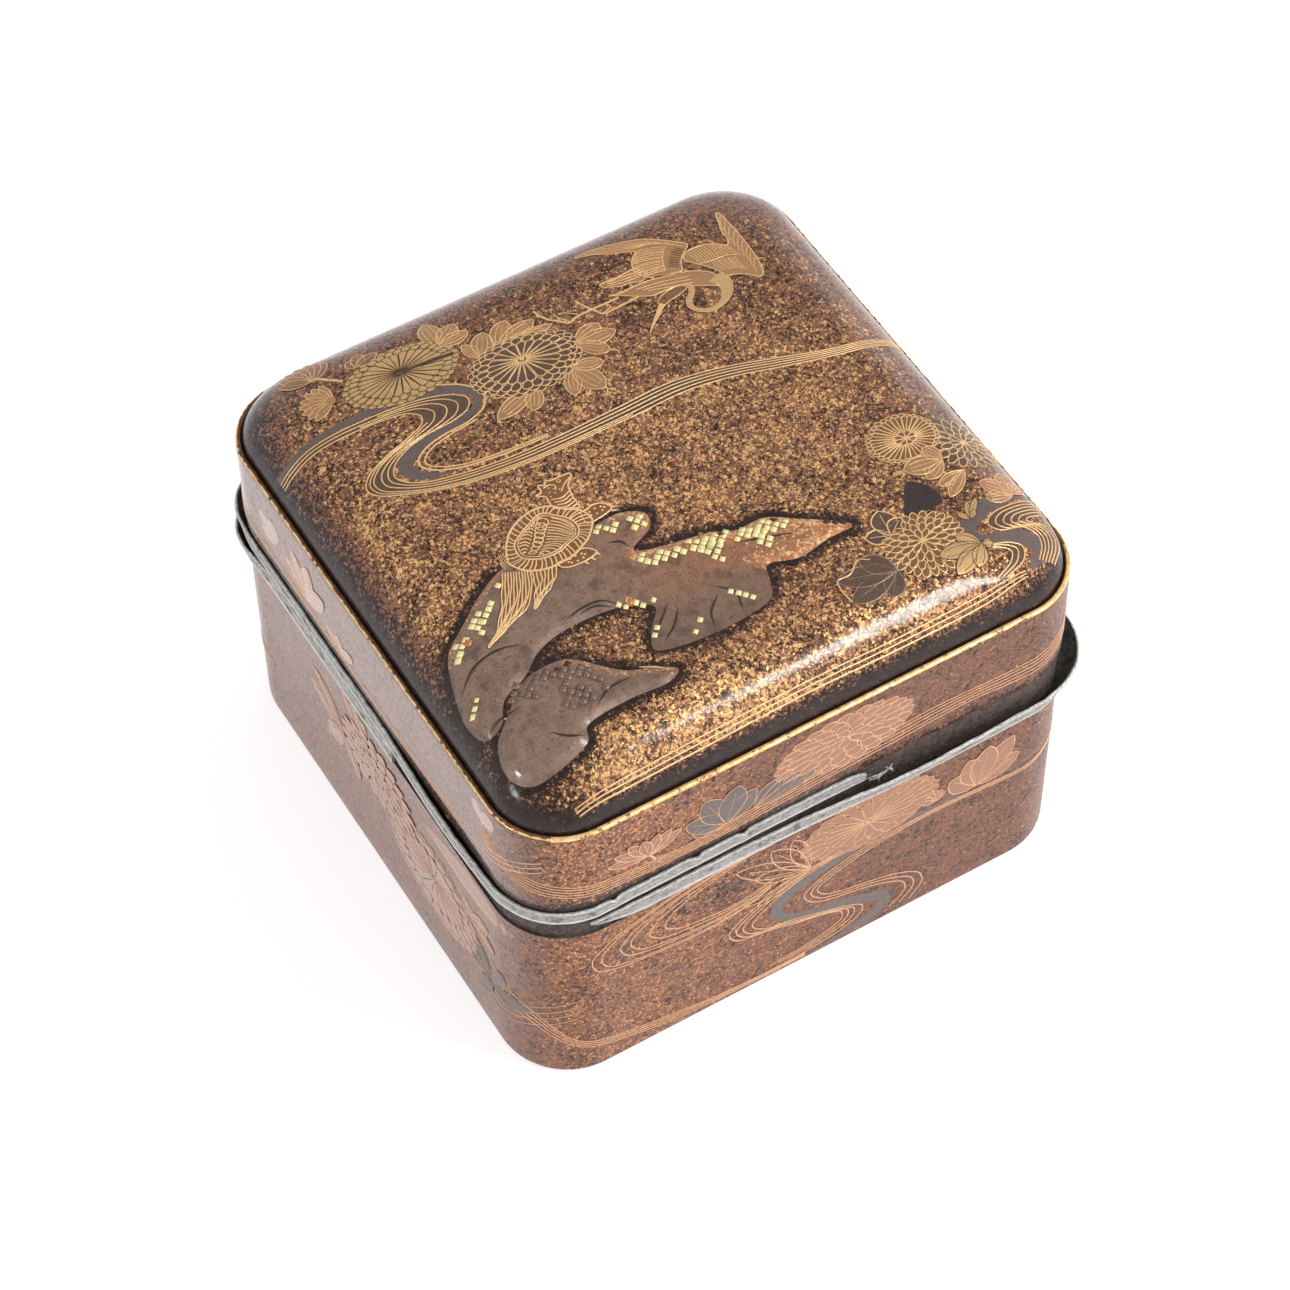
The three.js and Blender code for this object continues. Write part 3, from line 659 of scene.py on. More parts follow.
def lid_board():
    """The crowned board, from the middle of its underside round its edge to its top."""
    upper = crown_insets(BOARD_INSET, 28, 58)
    under = crown_insets(HOLLOW_INSET, 12, 8)[::-1]
    levels = ([(i, float(underside_height(i))) for i in under]
              + [(BOARD_INSET, BOARD_SEAT)]
              + [(i, float(top_height(i))) for i in upper])
    rows = []
    for inset, z in levels:
        curve = level_curve(inset, SIDE_STEPS, CORNER_STEPS)
        rows.append(np.column_stack([curve, np.full(len(curve), z)]))
    count = len(rows[0])
    points = np.concatenate(rows + [[[0, 0, float(underside_height(HALF))],
                                     [0, 0, float(top_height(np.array(HALF)))]]])
    faces = [tuple(f) for f in grid_faces(len(rows), count, columns_close=True)[:, ::-1]]
    last = (len(rows) - 1) * count
    tip = len(points) - 2
    for j in range(count):
        on = (j + 1) % count
        faces.append((tip, on, j))
        faces.append((tip + 1, last + j, last + on))
    powder = crown_powder(points[:, :2], inset_at(*points[:, :2].T))
    powder["cover"] = np.where(points[:, 2] > BOARD_SEAT + 0.5, powder["cover"], 0.25)
    made = new_mesh("lid_board", points, faces, [CROWN_LACQUER], "lid", 40,
                    values=powder)
    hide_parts("lid_top")


def plan_fill(curve, step):
    """Triangles inside a closed curve, with inner points on a grid."""
    low, high = curve.min(0), curve.max(0)
    gx, gy = np.meshgrid(np.arange(low[0], high[0], step),
                         np.arange(low[1], high[1], step * 0.87), indexing="ij")
    gx = gx + (np.arange(gx.shape[1]) % 2) * step / 2
    points = np.stack([gx.ravel(), gy.ravel()], 1)
    points = points[distance_inside(points, curve) > step * 0.45]
    every = np.vstack([curve, points])
    loop = list(range(len(curve)))
    xy, _, faces, *_ = delaunay_2d_cdt([Vector(p) for p in every], [], [loop], 1, 1e-6)
    return np.array([tuple(p) for p in xy]), faces


def rock_piece(name, curve, ridges):
    """Built-up lacquer of one rock, rounded at its edge, warm near its ridges."""
    xy, faces = plan_fill(curve, 0.4)
    inside = distance_inside(xy, curve)
    uneven = 0.06 * np.sin(xy[:, 0] * 0.8 + xy[:, 1] * 0.5) * np.sin(xy[:, 1] * 1.1 + 1.0)
    lobe = low_lobe(*xy.T)
    lift = rock_profile(inside) - 0.03 + (uneven - 0.06) * np.clip(inside - 0.8, 0, 1)
    z = sample(crown_grid, xy) + lift * (1 - LOBE_FLATNESS * lobe)
    east = rise(xy[:, 0], -3, 7) * (1 - lobe)
    warm = np.zeros(len(xy))
    for ridge, reach, strength in ridges:
        away = distance_to(xy, ridge)
        warm = np.maximum(warm, strength * (1 - away / (reach * (1 + 1.6 * east))))
    warm = np.maximum(warm, 0.30 * east)
    red = 0.8 * rise(xy[:, 0], -17, -4) * (1 - 0.8 * lobe)
    gloss = rise(-xy[:, 0], 27, 32) * rise(-xy[:, 1], 25, 28.5)
    dim = 0.22 * lobe + 0.2 * rise(xy[:, 0], -22, -18) * rise(-xy[:, 1], 20, 22) * (1 - lobe)
    dim = dim + 0.18 * (1 - rise(inside, 0.2, 1.3))
    new_mesh(name, np.column_stack([xy, z]), faces, [ROCK_LACQUER], "lid", 60,
             values={"warm": warm, "red": red, "gloss": gloss, "dim": dim})


lid_board()
rock_piece("rock_large", ROCKS[0], [(LEFT_RIDGE, 0.9, 0.6), (KNOB_RIDGE, 1.0, 0.8),
                                    (RIGHT_RIDGE, 1.6, 1.0), (RIGHT_FOOT, 1.0, 0.9)])
rock_piece("rock_small", ROCKS[1], [(SMALL_RIDGE, 0.9, 0.7)])


def band_piece(name, node, body, section, parts, materials, ragged=None, worn=None):
    """A closed band from (inset, height) points; parts gives each segment's material number.

    ragged moves its points and worn changes its material numbers along the way round.
    """
    distances = turn_stations(0.5)
    insets = np.tile([p[0] for p in section], (len(distances), 1)).astype(float)
    heights = np.tile([p[1] for p in section], (len(distances), 1)).astype(float)
    if ragged is not None:
        ragged(distances, insets, heights)
    points = sweep(distances, insets, heights)
    faces = grid_faces(len(distances), len(section), rows_close=True, columns_close=True)
    numbers = np.tile(parts, (len(distances), 1))
    if worn is not None:
        worn(distances, numbers)
    made = new_mesh(name, points, faces, materials, body, 40, numbers.ravel(),
                    wall_powder(points))
    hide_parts(node)


def wall_powder(points):
    """Shares of powder and of gold, warmth of the copper and gloss, on the two bands."""
    x, y, z = points.T
    front, left = rise(-y, 34, 37), rise(-x, 34, 37)
    corner = rise(-x, 27, 35) * rise(-y, 27, 35)
    lid = rise(z, 33, 36)
    right = rise(x, 4, 18)
    low = rise(12 - z, 0, 8)
    dark = front * (1 - lid) * np.exp(-((x + 13) / 6) ** 2 - ((z - 24.5) / 3) ** 2)
    cover = 0.80 - 0.08 * corner - 0.06 * front * right * (1 - low) - 0.42 * dark
    cover = cover + left * (1 - lid) * (0.08 + 0.1 * rise(18 - z, 0, 10))
    dusty = front * rise(x, 4, 10)
    worn = rise(z, 34.9 - 0.6 * dusty, 36.2 - 1.1 * dusty)
    cover = cover * np.where(z > LID_BOTTOM, 0.1 + 0.9 * worn, 1)
    bright = 0.03 + 0.16 * front * rise(-x, -6 + 12 * lid, 20 + 4 * lid) * (1 + 0.4 * lid)
    heat = 0.5 - 0.5 * right * front * (1 - 0.6 * low) + 0.25 * front * rise(-x, 22, 32)
    heat = heat + 0.5 * left * rise(16 - z, 0, 8) - 0.4 * left * rise(z, 8, 18)
    heat = heat - 0.8 * lid * front * rise(x, -26, -12) - 0.25 * corner
    gloss = left * (1 - 0.5 * corner) * (lid + (1 - lid) * (0.4 + 0.3 * rise(z, 6, 26)))
    return {"cover": cover, "bright": np.clip(bright, 0, 1), "heat": np.clip(heat, 0, 1),
            "gloss": gloss}


def lid_band():
    section = [
        (STRIP_REBATE, LID_BOTTOM), (STRIP_REBATE, LID_REBATE_TOP), (0.06, LID_REBATE_TOP),
        (0.0, LID_REBATE_TOP + 0.1), (0.0, 36.5), (0.0, 38.5), (0.0, 41.0), (0.0, 44.0),
        (0.0, GOLD_EDGE - 1.1), (0.0, GOLD_EDGE - 0.3), (0.04, GOLD_EDGE - 0.14),
        (0.13, GOLD_EDGE - 0.04), (0.25, GOLD_EDGE), (0.5, GOLD_EDGE), (0.62, GOLD_EDGE - 0.04),
        (GOLD_EDGE_WIDTH, GOLD_EDGE - 0.14),
        (GOLD_EDGE_WIDTH, BOARD_SEAT), (WALL, BOARD_SEAT), (WALL, LID_BOTTOM),
    ]
    parts = [2, 2, 2, 0, 0, 0, 0, 0, 0, 1, 1, 1, 1, 3, 3, 2, 2, 0, 2]

    def ragged(distances, insets, heights):
        bite = 0.35 * wave(distances, 5, (9.0, 4.1, 1.9, 1.1))
        heights[:, 1:4] += bite[:, None]

    def worn(distances, numbers):
        x, y = outline(distances)[0].T
        front = (y < -31) & (x > -34)
        chip = wave(distances, 8, (6.0, 2.7, 1.3, 0.9))
        numbers[~front, 9] = 0
        numbers[~front, 12] = 3
        numbers[~front & (chip > 0.15), 11] = 3
        numbers[~front & (chip > 0.45), 10] = 3
        numbers[front & (chip > 0.5), 9] = 0

    band_piece("lid_band", "lid_wall", "lid", section, parts,
               [WALL_LACQUER, EDGE_GOLD, BARE_EDGE, RUBBED_EDGE], ragged, worn)


def body_band():
    foot = [(FOOT_ROUNDING * (1 - math.sin(a)), FOOT_ROUNDING * (1 - math.cos(a)))
            for a in np.linspace(0, math.pi / 2, 7)]
    rebate = BODY_HEIGHT - BODY_STRIP_HEIGHT - GLUE_GAP
    seat = WALL - BASE_SEAT_WIDTH
    face = [(0, z) for z in (4.0, 8.0, 12.0, 16.0, 20.0, 24.0)]
    section = foot + face + [
        (0, rebate), (STRIP_REBATE, rebate), (STRIP_REBATE, BODY_HEIGHT), (WALL, BODY_HEIGHT),
        (WALL, BASE_TOP), (seat, BASE_TOP), (seat, 0)]
    parts = [0] * 13 + [1, 1, 1, 0, 1, 1, 1]
    band_piece("body_band", "body_wall", "box", section, parts, [WALL_LACQUER, BARE_EDGE])


lid_band()
body_band()
for node in ("base_board", "inner_lip"):
    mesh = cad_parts[node].data
    mesh.materials.clear()
    mesh.materials.append(INSIDE)


def bend_share(bend, distances):
    """How much of a bend is felt at distances: 1 at its middle, 0 beyond its reach."""
    corner, shift, before, after, *_ = bend
    away = (((distances - corner - shift) / PERIMETER + 0.5) % 1 - 0.5) * PERIMETER
    reach = np.where(away < 0, before, after)
    return (1 + np.cos(math.pi * np.minimum(np.abs(away) / reach, 1))) / 2


def strip(name, node, body, bends, ends, foot, height, seed, top_bite=None, creases=(), wedge=0.0):
    """A bent strip with softened edges, light outside and dark inside. Its top edge and the foot of its
    outer face are a lighter pewter, rubbed bright and partly a painted highlight.

    Its section is given as shares of the thickness outward and of the height up the leaning
    strip. creases are distances at which it is kinked, wedge is the share of its height that is
    cut away below at its start.
    """
    distances = np.arange(ends[0], ends[1], 0.35)
    share = [bend_share(b, distances) for b in bends]

    def total(key):
        return sum(s * b[key] for s, b in zip(share, bends))

    kink = sum(np.exp(-((distances - at) / 0.45) ** 2) for at in creases)
    lean = np.radians(total(4) + 2.2 * wave(distances, seed, (17.0, 7.0, 3.0)) + 9 * kink)
    stand = STRIP_INSET - total(5)
    base = foot + total(6) + 0.05 * wave(distances, seed + 1, (19.0, 8.0, 3.1))
    tall = np.full(len(distances), height) if top_bite is None else top_bite(distances, height)
    cut = wedge * (1 - rise(distances, ends[0], ends[0] + 7)) ** 1.5
    base, tall = base + cut * height, tall - cut * height
    tall = tall - 0.16 * kink
    soft, thick = 0.12, STRIP_THICKNESS - 0.06
    groove = thick - 0.09
    section = [(thick, soft), (thick, 0.25), (thick, 0.5), (groove, 0.62), (thick, 0.74),
               (thick, None), (thick - soft, 1.0), (soft, 1.0), (0, None), (0, 0.5), (0, soft),
               (soft, 0.0), (thick - soft, 0.0)]
    insets, heights = [], []
    held = STRIP_REBATE + 0.05
    for out, up in section:
        if up is None:
            along = tall - soft
        elif up == soft:
            along = np.full_like(tall, soft)
        else:
            along = tall * up
        inset = stand - out * np.cos(lean) - along * np.sin(lean)
        inner = out <= soft and up in (soft, 0.0)
        insets.append(np.maximum(inset, held) if inner else inset)
        heights.append(base - out * np.sin(lean) + along * np.cos(lean))
    points = sweep(distances, np.stack(insets, 1), np.stack(heights, 1))
    count = len(section)
    faces = [tuple(f) for f in grid_faces(len(distances), count, columns_close=True)]
    # The edges take the lighter pewter (rubbed, and partly a painted highlight) and the inside takes the
    # dark pewter.
    parts = ([2] + [0] * 4 + [2, 2, 0] + [1] * 5) * (len(distances) - 1) + [0, 0]
    last = (len(distances) - 1) * count
    faces += [tuple(range(count)), tuple(last + k for k in range(count))[::-1]]
    made = new_mesh(name, points, faces, [PEWTER, PEWTER_DARK, PEWTER_WORN_AND_LIT], body, 35,
                    parts)
    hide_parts(node)


def torn_top(distances, height):
    """Height of the lid's strip, ragged towards its torn end."""
    left = LID_STRIP_ENDS[1] - distances
    ragged = 0.35 + 0.65 * np.clip(left / 2.2, 0, 1) ** 0.6
    notch = 0.22 * wave(distances, 41, (2.3, 1.3, 0.9)) * np.clip(1 - left / 2.5, 0, 1)
    return height * np.clip(ragged + notch, 0.25, 1)


def shreds():
    """Thin curled slivers of pewter at the torn end of the lid's strip."""
    end = LID_STRIP_ENDS[1] - PERIMETER
    paths = [
        [(end - 0.4, 0.5, 32.9), (end + 0.7, 0.9, 33.3), (end + 1.6, 0.8, 33.0),
         (end + 1.1, 0.6, 32.0), (end + 1.3, 0.7, 31.2)],
        [(end - 0.2, 0.5, 32.4), (end + 0.9, 0.8, 32.7), (end + 2.1, 0.9, 33.4),
         (end + 3.0, 0.6, 33.6)],
        [(end + 2.0, 0.5, 33.4), (end + 2.7, 0.8, 32.9), (end + 3.0, 0.6, 32.1)],
    ]
    points, faces = [], []
    for path in paths:
        curve = smooth_curve(path, step=0.12)
        half = 0.16 * np.sin(np.linspace(0.5, math.pi - 0.1, len(curve)))[:, None]
        shift = sideways(curve[:, [0, 2]]) * half
        start = sum(map(len, points))
        rows = []
        for side, out in ((-1, 0.0), (0, 0.12), (1, 0.0), (0, -0.05)):
            u = curve[:, 0] + side * shift[:, 0]
            spot, normal = outline(u)
            spot = spot + normal * (curve[:, 1] + out)[:, None]
            rows.append(np.column_stack([spot, curve[:, 2] + side * shift[:, 1]]))
        points.append(np.stack(rows, 1).reshape(-1, 3))
        faces += [tuple(f) for f in grid_faces(len(curve), 4, columns_close=True) + start]
        last = start + (len(curve) - 1) * 4
        faces += [tuple(range(start, start + 4)), tuple(range(last, last + 4))[::-1]]
    new_mesh("torn_shreds", np.concatenate(points), faces, [PEWTER], "lid", 50)


strip("pewter_of_body", "body_rim", "box", BODY_STRIP_BENDS, BODY_STRIP_ENDS,
      BODY_HEIGHT - BODY_STRIP_HEIGHT, BODY_STRIP_HEIGHT, 21, wedge=0.85)
strip("pewter_of_lid", "lid_rim", "lid", LID_STRIP_BENDS, LID_STRIP_ENDS, LID_STRIP_FOOT,
      LID_STRIP_HEIGHT, 31, torn_top, [PERIMETER - 16.2, PERIMETER - 10.1, PERIMETER - 27])
shreds()


# How far a band's edges lie under its middle, and each ring of petals over the last
EDGE_DROP = 0.015
RING_STEP = 0.035
# Samples along and across a flat ribbon
RIBBON_STEPS = (160, 6)


class Inlay:
    """Raised lines and fills on one surface, gathered into one piece per material."""

    def __init__(self, name, surface, body):
        self.name, self.surface, self.body = name, surface, body
        self.parts = {}

    def keep(self, material, points, faces):
        """Adds points and faces to the piece of a material."""
        held = self.parts.setdefault(material.name, [material, [], [], 0])
        held[1].append(points)
        held[2].append(np.asarray(faces) + held[3])
        held[3] += len(points)

    def blade(self, path, width, material, lift=0.02, swell=0.03):
        """A band along a path, highest along its middle."""
        side = sideways(path) * np.reshape(width, (-1, 1)) / 2
        rows = [self.surface.place(path + side, lift - EDGE_DROP),
                self.surface.place(path, lift + swell),
                self.surface.place(path - side, lift - EDGE_DROP)]
        points = np.stack(rows, 1).reshape(-1, 3)
        self.keep(material, points, grid_faces(len(path), 3)[:, ::-1])

    def line(self, points, width=0.24, material=GOLD_LINE, lift=0.03, closed=False):
        path = smooth_curve(points, closed, 0.3)
        if closed:
            path = np.vstack([path, path[:1]])
        self.blade(path, width, material, lift, 0.045)

    def tapered(self, points, widths, material, lift=0.02, swell=0.0):
        """A band along a curve whose width changes evenly between the given widths."""
        path = smooth_curve(points, step=0.25)
        share = np.linspace(0, 1, len(path))
        width = np.interp(share, np.linspace(0, 1, len(widths)), widths)
        self.blade(path, width, material, lift, swell)

    def fill(self, curve, material, lift, step):
        xy, faces = plan_fill(curve, step)
        self.keep(material, self.surface.place(xy, lift), faces)

    def area(self, points, material, lift=0.02, step=0.8):
        self.fill(smooth_curve(points, True, min(step, 0.5)), material, lift, step)

    def outlined(self, points, material, lift, width, line=GOLD_LINE):
        """A filled area with a line round it."""
        self.area(points, material, lift)
        self.line(points, width, line, lift + 0.02, closed=True)

    def patch(self, points, material, lift, swell):
        """A small filled shape, highest at its middle."""
        count = len(points)
        x, y = points.T
        order = [(count, i, (i + 1) % count) for i in range(count)]
        if np.sum(x * np.roll(y, -1) - y * np.roll(x, -1)) < 0:
            order = [(a, c, b) for a, b, c in order]
        lifts = np.append(np.full(count, lift), lift + swell)
        self.keep(material, self.surface.place(np.vstack([points, points.mean(0)]), lifts), order)

    def dot(self, at, radius, material, lift, squash=1.0):
        angle = np.linspace(0, 2 * math.pi, 9)[:-1]
        ring = np.add(at, radius * np.stack([np.cos(angle), squash * np.sin(angle)], 1))
        self.patch(ring, material, lift, 0.04)

    def chrysanthemum(self, centre, axes, rings, fill, line, width, lift=0.03, ground=None,
                      heart=(0.0, 0.0), seed=1, pointed=0.0):
        """Rings of petals, the outer ones lowest. rings: (inner, outer, petals) as shares."""
        own = np.random.default_rng(seed)
        centre, heart = np.array(centre, float), np.array(heart, float)
        across = np.array([-1, -0.85, -0.55, 0, 0.55, 0.85, 1])
        cap = np.sqrt(np.clip(1 - across ** 2, 0, 1)) ** (1 + pointed)

        def spot(radius, angle):
            unit = np.array([radius * np.cos(angle), radius * np.sin(angle)]).T
            return centre + (unit * axes + heart * (1 - radius)[:, None])

        if ground is not None:
            angle = np.linspace(0, 2 * math.pi, 49)[:-1]
            self.fill(spot(np.full(48, rings[0][1] * 0.97), angle), ground, lift - 0.012, 1.2)
        for number, (inner, outer, petals) in enumerate(rings):
            level = lift + RING_STEP * number
            half = math.pi / petals
            phase = own.uniform(0, 6.28)
            tip = min(outer - inner, half * outer * (1 + pointed)) * 0.9
            for petal in range(petals):
                angle = phase + 2 * math.pi * petal / petals + own.normal(0, 0.012)
                out = outer * own.uniform(0.975, 1.015)
                waist = inner + (out - tip - inner) * 0.5
                radius = np.concatenate([[inner, waist], out - tip + tip * cap, [waist, inner]])
                turned = angle + half * np.concatenate([[-0.42, -0.8], across * 0.97, [0.8, 0.42]])
                edge = spot(radius, turned)
                self.patch(edge, fill, level, 0.035)
                self.blade(edge, width, line, level + 0.012, 0.035)
        self.dot(centre + heart, 0.35, line, lift + 0.04 * len(rings), 0.8)

    def lobe(self, base, tip, width, fill, line, lift=0.03, thin=0.14, veins=2):
        """One leaf lobe or broad petal from its base to its tip, with outline and veins."""
        t = np.linspace(0, 1, 13)
        path = base + np.outer(t, np.subtract(tip, base))
        wide = width * (np.abs(np.sin(math.pi * t ** 1.2)) ** 0.68 * (1 - 0.1 * t ** 3) + 0.04)
        reach = sideways(path) * (wide / 2)[:, None]
        if fill is not None:
            self.blade(path, wide, fill, lift)
        if line is not None:
            loop = np.vstack([path + reach, (path - reach)[::-1]])
            self.blade(loop, thin, line, lift + 0.01, 0.04)
            for share in np.linspace(-0.5, 0.5, veins) if veins > 1 else [0.0] * veins:
                self.blade((path + reach * share)[1:11], thin * 0.65, line, lift + 0.03, 0.025)

    def leaf(self, base, tips, fill, line, lift=0.03, **more):
        """Several lobes from one base; tips gives each one's end point and width."""
        for number, (x, y, width) in enumerate(tips):
            self.lobe(base, (x, y), width, fill, line, lift + 0.02 * number, **more)

    def fan(self, base, start, end, count, length, width, fill, line, lift, rows=1):
        """A flower seen from its side: petals fanned between two angles."""
        for row in range(rows):
            for number in range(count - row):
                share = (number + 0.5 + row * 0.5) / count
                angle = math.radians(start + (end - start) * share)
                long = length * (1 - 0.22 * row) * (0.8 + 0.2 * math.sin(math.pi * share))
                tip = np.add(base, (long * math.cos(angle), long * math.sin(angle)))
                self.lobe(base, tip, width, fill, line, lift + 0.015 * number + 0.05 * row,
                          thin=0.12, veins=0)

    def ribbon(self, near, far, material):
        """A flat area between two curves."""
        samples, columns = RIBBON_STEPS
        rows = []
        for share in np.linspace(0, 1, columns):
            path = smooth_curve(between(near, far, share), step=0.4)
            along = np.append(0, np.cumsum(np.linalg.norm(np.diff(path, axis=0), axis=1)))
            at = np.linspace(0, along[-1], samples)
            rows.append(np.stack([np.interp(at, along, part) for part in path.T], 1))
        points = self.surface.place(np.stack(rows, 1).reshape(-1, 2), 0.01)
        self.keep(material, points, grid_faces(samples, columns)[:, ::-1])

    def streams(self, near, far, shares, width, material=GOLD_LINE, bed=None):
        """Flowing lines between two curves, over a darker bed."""
        if bed is not None:
            self.ribbon(near, far, bed)
        for share in shares:
            self.line(between(near, far, share), width, material)

    def hatch(self, first, second, count, width=0.11, material=GOLD_LINE, lift=0.06, sag=0.0):
        """Fine lines from one curve to another, such as the barbs of a wing."""
        a, b = smooth_curve(first, step=0.2), smooth_curve(second, step=0.2)
        for share in (np.arange(count) + 0.5) / count:
            p, q = a[int(share * (len(a) - 1))], b[int(share * (len(b) - 1))]
            t = np.linspace(0, 1, 9)[:, None]
            off = np.array([-(q - p)[1], (q - p)[0]]) * sag
            self.blade(p + (q - p) * t + off * t * (1 - t) * 4, width, material, lift)

    def finish(self):
        for material, points, faces, _ in self.parts.values():
            groups = [group for part in faces for group in part.tolist()]
            new_mesh(f"{self.name}_{material.name}", np.concatenate(points), groups, [material],
                     self.body)


def between(first, second, share):
    """Points at a share of the way from one list of points to another."""
    return [(a[0] * (1 - share) + b[0] * share, a[1] * (1 - share) + b[1] * share)
            for a, b in zip(first, second)]


# Upper side of the lid: the stream between its two edges, and the bank beside it
top = Inlay("lid_top", Crown(), "lid")
STREAM_NEAR = [
    (-36, 21.6), (-30, 21.9), (-22, 21.7), (-17, 20.9), (-14, 19.6), (-13, 18.3), (-13.8, 17),
    (-16, 16.3), (-20, 16), (-22.8, 15.3), (-25, 14), (-25.8, 12.6), (-25.2, 11.3), (-23.3, 10),
    (-19.5, 8.9), (-14, 8), (-8, 7.7), (0, 7.8), (8, 8), (14, 7), (20, 5.2), (25, 3.6), (30, 2.6),
    (36, 2.3)]
STREAM_FAR = [
    (-36, 20.6), (-32, 20.9), (-27, 20.9), (-22.5, 20.6), (-19.8, 19.9), (-18.9, 18.8), (-19.5, 17.7),
    (-22, 16.7), (-25.5, 15.6), (-28.3, 14.2), (-29.4, 12.6), (-28.8, 11.3), (-26.3, 9.8), (-22, 8),
    (-16, 6.6), (-10, 5.95), (-4, 5.8), (2, 5.75), (9, 5.9), (15, 5.0), (20.5, 3.5), (25.5, 2.3),
    (30, 1.5), (36, 1.4)]
top.streams(STREAM_NEAR, STREAM_FAR, (0.0, 0.48, 1.0), 0.16, bed=SOFT_DARK)
top.streams(STREAM_NEAR[2:24], STREAM_FAR[2:24], (0.24, 0.74), 0.14)
top.streams(STREAM_NEAR[6:18], STREAM_FAR[6:18], (0.87,), 0.13)
top.tapered(
    [(-36, 22.1), (-30, 22.5), (-25, 22.6), (-20, 22.45), (-16.1, 21.5), (-13.3, 20.1), (-11.9, 18.6),
     (-12.6, 16.9), (-15, 15.9), (-19, 15.5), (-21.9, 14.9), (-23.8, 13.7), (-24.2, 12.5),
     (-23.2, 11.1), (-21.6, 10.2), (-19.8, 9.6)],
    [0.7, 0.9, 1.0, 1.4, 1.5, 1.0, 0.9, 1.8, 1.7, 0.05], GREY_FILL)
top.line(
    [(-15.2, 22.1), (-12.7, 20.6), (-11.2, 18.5), (-11.9, 16.4), (-14.5, 15.25), (-18.5, 14.9),
     (-21, 14.2), (-22.5, 13), (-22.4, 11.9), (-21.3, 10.8), (-18.5, 9.6), (-13.5, 8.7), (-8, 8.3)],
    0.24)
top.line(
    [(-13.6, 15.0), (-18, 14.5), (-20.5, 13.8), (-21.8, 12.7), (-21.6, 11.8), (-20.2, 10.7),
     (-17.5, 9.7), (-13, 9), (-8, 8.6)], 0.2)
for drop in (0.0, 0.4, 0.8):
    top.line(
        [(29, -34.1 - drop * 0.7), (24, -34.5 - drop), (12, -34.7 - drop), (0, -34.6 - drop),
         (-14, -34.8 - drop), (-30, -35.2 - drop * 0.8)], 0.11)


